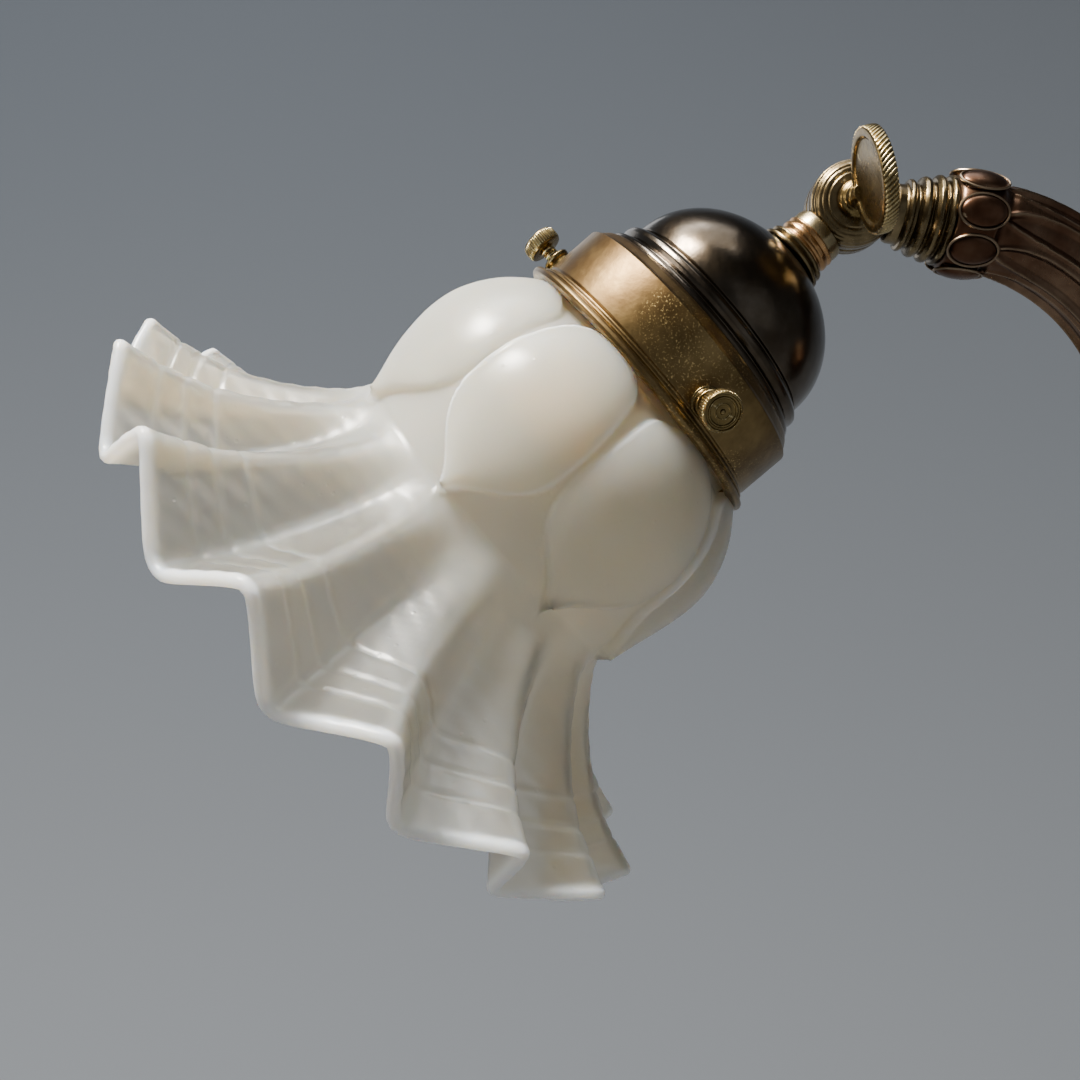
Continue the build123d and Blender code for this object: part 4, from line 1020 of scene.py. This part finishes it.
def arm_mesh(settings):
    """The cast arm: sunk panels with pointed ends between raised ribs, and a belly at each end."""
    path = arm_path()
    steps = settings.panels * STEPS_PER_PANEL
    run = np.concatenate([[0], np.cumsum(np.linalg.norm(np.diff(path[:, :2], axis=0), axis=1))])
    total = run[-1]
    near = np.minimum(run, total - run)
    turn = np.arange(steps) * 2 * pi / steps
    pitch = 2 * pi / settings.panels
    off = np.abs((turn + pitch / 2) % pitch - pitch / 2)
    half = np.interp(near, PANEL_PLACES, np.radians(PANEL_HALVES))
    inside = (half[:, None] - off[None, :]) * ARM_R * (near[:, None] > PANEL_FROM)
    sink = eased(np.clip(inside / PANEL_SLOPE, 0, 1)) * settings.panel_depth / MM
    rib = np.exp(-(((inside + 0.25) / 0.42) ** 2)) * (near[:, None] > 8.4) * settings.rib / MM
    swell = 1.75 * np.sin(np.clip(near / COLLAR_L, 0, 1) * pi) ** 0.55 - 0.35
    belly = np.where(near < COLLAR_L, swell, 0)
    belly = np.where(near < 0.01, -1.0, belly)
    throat = -0.30 * np.exp(-(((near - 10.6) / 0.7) ** 2))
    radius = ARM_R + (belly + throat)[:, None] - sink + rib
    rows = []
    for (y, z, slope), r in zip(path, radius):
        sideways = r * np.cos(turn)
        upward = r * np.sin(turn)
        rows.append(np.stack([sideways, y - upward * sin(slope), z + upward * cos(slope)], -1))
    points = np.concatenate(rows) * MM
    faces = grid_faces(len(rows), steps, False)
    faces += [tuple(range(steps)), tuple(range((len(rows) - 1) * steps, len(rows) * steps))]
    return tidy(mesh_of("cast_arm", points, faces), 50)


class SCONCE_OT_arm(bpy.types.Operator):
    """Cast the curved arm with its panels, ribs and collars"""

    bl_idname = "sconce.arm"
    bl_label = "Arm"

    def execute(self, context):
        settings = context.scene.sconce_arm
        piece("cast_arm", arm_mesh(settings), "arm", "arm_patina", ("arm",))
        collars = {
            "upper": raised(STEM, COLLAR_AT + COLLAR_L / 2),
            "lower": raised(FOOT, SOCKET_END + COLLAR_L / 2),
        }
        for end, place in collars.items():
            stones = studs(
                f"{end}_cabochons", "arm_patina", place, settings.cabochons, 10.2 * MM,
                (1.35, 3.25, 4.7), 32,
            )
            piece(f"{end}_cabochons", stones, "arm", "arm_patina")
            values = {
                "Count": settings.cabochons, "Ring Radius": 10.35 * MM, "Width": 3.6 * MM,
                "Length": 5.05 * MM, "Wire": 0.30 * MM,
            }
            wires = grown(f"{end}_cabochon_rims", frame_tree, "arm_patina", place, values)
            piece(f"{end}_cabochon_rims", wires, "arm", "arm_patina")
        return {"FINISHED"}


# ---- wall plate and lampholder
BEAD_COUNT = 120
BEAD_R = 1.05
BEAD_RING_R = 46.7
BEAD_AT = 4.45
THREAD_PITCH = 3.6
THREAD_WAVE = 0.12
THREAD_INNER, THREAD_OUTER = 13.45, 13.75
THREAD_HALF = 8.9  # half the shell's length


class SCONCE_OT_plate_beading(bpy.types.Operator):
    """Bead the wall plate's edge"""

    bl_idname = "sconce.plate_beading"
    bl_label = "Plate Beading"

    def execute(self, context):
        place = raised(WALL, BEAD_AT)
        ball = (BEAD_R, BEAD_R, BEAD_R)
        mesh = studs("plate_beads", "olive_brass", place, BEAD_COUNT, BEAD_RING_R * MM, ball, 12)
        piece("plate_beads", mesh, "wall_mount", "olive_brass")
        return {"FINISHED"}


def rolled(height, angle):
    """Height of a rolled thread's wave."""
    return THREAD_WAVE * np.sin(2 * pi * height / THREAD_PITCH - angle)


class SCONCE_OT_lampholder(bpy.types.Operator):
    """Roll the lampholder's thread shell"""

    bl_idname = "sconce.lampholder"
    bl_label = "Lampholder Thread"

    def execute(self, context):
        mouth = (Vector(MOUNTS["lamp_thread"]["pos_m"]) - KNUCKLE).dot(HEAD_DIR) / MM
        rows = np.linspace(mouth - THREAD_HALF, mouth + THREAD_HALF, 80)
        outline = [(THREAD_INNER, t) for t in rows] + [(THREAD_OUTER, t) for t in rows[::-1]]
        mesh = turned("rolled_thread", outline, HEAD, 120, True, rolled)
        piece("rolled_thread", mesh, "head", "pale_brass", ("lamp_thread_shell",))
        return {"FINISHED"}


class SCONCE_OT_finishes(bpy.types.Operator):
    """Give each CAD piece that stays in view its finish"""

    bl_idname = "sconce.finishes"
    bl_label = "Finishes"

    def execute(self, context):
        slots = {entry["node"]: entry["material_slot"] for entry in frame["record"]["subparts"]}
        for name, shown in frame["nodes"].items():
            if shown.hide_render:
                continue
            finish = slots[name]
            shown.data.materials.clear()
            shown.data.materials.append(finish_named(finish))
        return {"FINISHED"}


# ---- stage
def aimed(place, target):
    """A rotation that looks from a place to a target."""
    return (Vector(target) - Vector(place)).to_track_quat("-Z", "Y").to_euler()


def area_light(name, place, target, size, watts, colour):
    """A soft square light."""
    data = bpy.data.lights.new(name, "AREA")
    data.size = size
    data.energy = watts
    data.color = colour
    lamp = placed(name, data)
    lamp.location = place
    lamp.rotation_euler = aimed(place, target)


# The floor, in millimetres: a flat disc that curves up into a tall round wall
FLOOR_Z = -900.0
FLAT_R = 250.0
CURVE_R = 3000.0
WALL_FROM, WALL_TO = 2200, 5000
SKY = (0.62, 0.70, 0.82, 1)
SKY_STRENGTH = 0.06
DAY = (0.95, 0.98, 1)
WALL_TARGET = Vector((-3, -1.6, 0.9))
CAMERA_TARGET = Vector((0.0011, -0.0665, -0.0715))  # from the knuckle
CAMERA_OFFSET = Vector((0.2296, 0.0107, 0.0091))
# Light, the setting of its power and its share of it, its place from the middle, size and colour
LIGHTS = (
    ("key", "key_power", 1, (0.30, -0.45, 1.20), 0.36, (1, 0.95, 0.86)),
    ("side", "fill_power", 5, (0.35, -1.30, 0.45), 0.5, (1, 0.95, 0.87)),
    ("fill", "fill_power", 1, (1.3, 0.9, 0.3), 1.2, (0.85, 0.92, 1)),
    ("back", "fill_power", 2, (-1.1, -0.5, 0.5), 0.8, (0.95, 0.97, 1)),
)


def bowl_mesh():
    """The floor and the round wall behind it, open above and facing inwards."""
    profile = [(0.02, FLOOR_Z), (FLAT_R, FLOOR_Z)]
    for a in np.linspace(0, pi / 2, 40)[1:]:
        profile.append((FLAT_R + CURVE_R * sin(a), FLOOR_Z + CURVE_R * (1 - cos(a))))
    profile += [(FLAT_R + CURVE_R, z) for z in np.linspace(WALL_FROM, WALL_TO, 8)]
    bowl = turned("floor", profile, Matrix.Identity(4), 128)
    with opened(bowl) as shape:
        lid = max(shape.faces, key=lambda face: face.calc_center_median().z)
        bmesh.ops.delete(shape, geom=[lid], context="FACES_ONLY")
        bmesh.ops.reverse_faces(shape, faces=shape.faces)
    bowl.shade_smooth()
    return bowl


class SCONCE_OT_stage(bpy.types.Operator):
    """Lay the floor, set the lights and stand the camera"""

    bl_idname = "sconce.stage"
    bl_label = "Stage"

    def execute(self, context):
        settings = context.scene.sconce_stage
        bowl = bowl_mesh()
        finish, build, surface = shader("pale_floor")
        colour = (*settings.floor_colour, 1)
        build.feed(surface, {"Base Color": colour, "Roughness": 0.95})
        bowl.materials.append(finish)
        floor = placed("floor", bowl)
        world = bpy.data.worlds.new("studio")
        world.use_nodes = True
        back = world.node_tree.nodes["Background"]
        Tree(world.node_tree).feed(back, {"Color": SKY, "Strength": SKY_STRENGTH})
        context.scene.world = world
        middle = KNUCKLE + Vector((0, -0.06, -0.06))
        for name, power_name, share_of_it, offset, size, colour in LIGHTS:
            watts = getattr(settings, power_name) * share_of_it
            area_light(name, middle + Vector(offset), middle, size, watts, colour)
        area_light("wall", Vector((-0.5, -0.6, 2.6)), WALL_TARGET, 1.2, settings.wall_power, DAY)
        area_light("room", Vector((0, 0, 4.0)), middle, 2.5, settings.room_power, DAY)
        view = bpy.data.cameras.new("camera")
        view.lens = settings.lens
        view.sensor_width = 36.0
        view.clip_start = 0.01
        view.clip_end = 30.0
        camera = placed("camera", view)
        target = KNUCKLE + CAMERA_TARGET
        camera.location = target + CAMERA_OFFSET
        camera.rotation_euler = aimed(camera.location, target)
        context.scene.camera = camera
        return {"FINISHED"}


class SCONCE_PT_panel(bpy.types.Panel):
    """The sconce's pieces and settings"""

    bl_idname = "SCONCE_PT_panel"
    bl_label = "Swing Arm Sconce"
    bl_space_type = "VIEW_3D"
    bl_region_type = "UI"
    bl_category = "Sconce"

    def draw(self, context):
        for operator, settings in STEPS:
            box = self.layout.box()
            box.operator(operator.bl_idname)
            if settings:
                group = getattr(context.scene, settings)
                for name in group.__annotations__:
                    box.prop(group, name)


SETTINGS = {
    "sconce_shade": SconceShadeSettings,
    "sconce_head": SconceHeadSettings,
    "sconce_arm": SconceArmSettings,
    "sconce_finishes": SconceFinishSettings,
    "sconce_stage": SconceStageSettings,
}
STEPS = (
    (SCONCE_OT_stage, "sconce_stage"),
    (SCONCE_OT_shade, "sconce_shade"),
    (SCONCE_OT_head, "sconce_head"),
    (SCONCE_OT_shade_screws, None), (SCONCE_OT_knuckle, None),
    (SCONCE_OT_arm, "sconce_arm"),
    (SCONCE_OT_plate_beading, None), (SCONCE_OT_lampholder, None),
    (SCONCE_OT_finishes, "sconce_finishes"),
)


def register():
    for settings in SETTINGS.values():
        bpy.utils.register_class(settings)
    for operator, _ in STEPS:
        bpy.utils.register_class(operator)
    bpy.utils.register_class(SCONCE_PT_panel)
    for name, settings in SETTINGS.items():
        setattr(bpy.types.Scene, name, PointerProperty(type=settings))


def unregister():
    for name in SETTINGS:
        delattr(bpy.types.Scene, name)
    bpy.utils.unregister_class(SCONCE_PT_panel)
    for operator, _ in reversed(STEPS):
        bpy.utils.unregister_class(operator)
    for settings in reversed(SETTINGS.values()):
        bpy.utils.unregister_class(settings)


def main():
    """Make every piece in order."""
    register()
    for operator, _ in STEPS:
        group, name = operator.bl_idname.split(".")
        getattr(getattr(bpy.ops, group), name)()


if __name__ == "__main__":
    main()
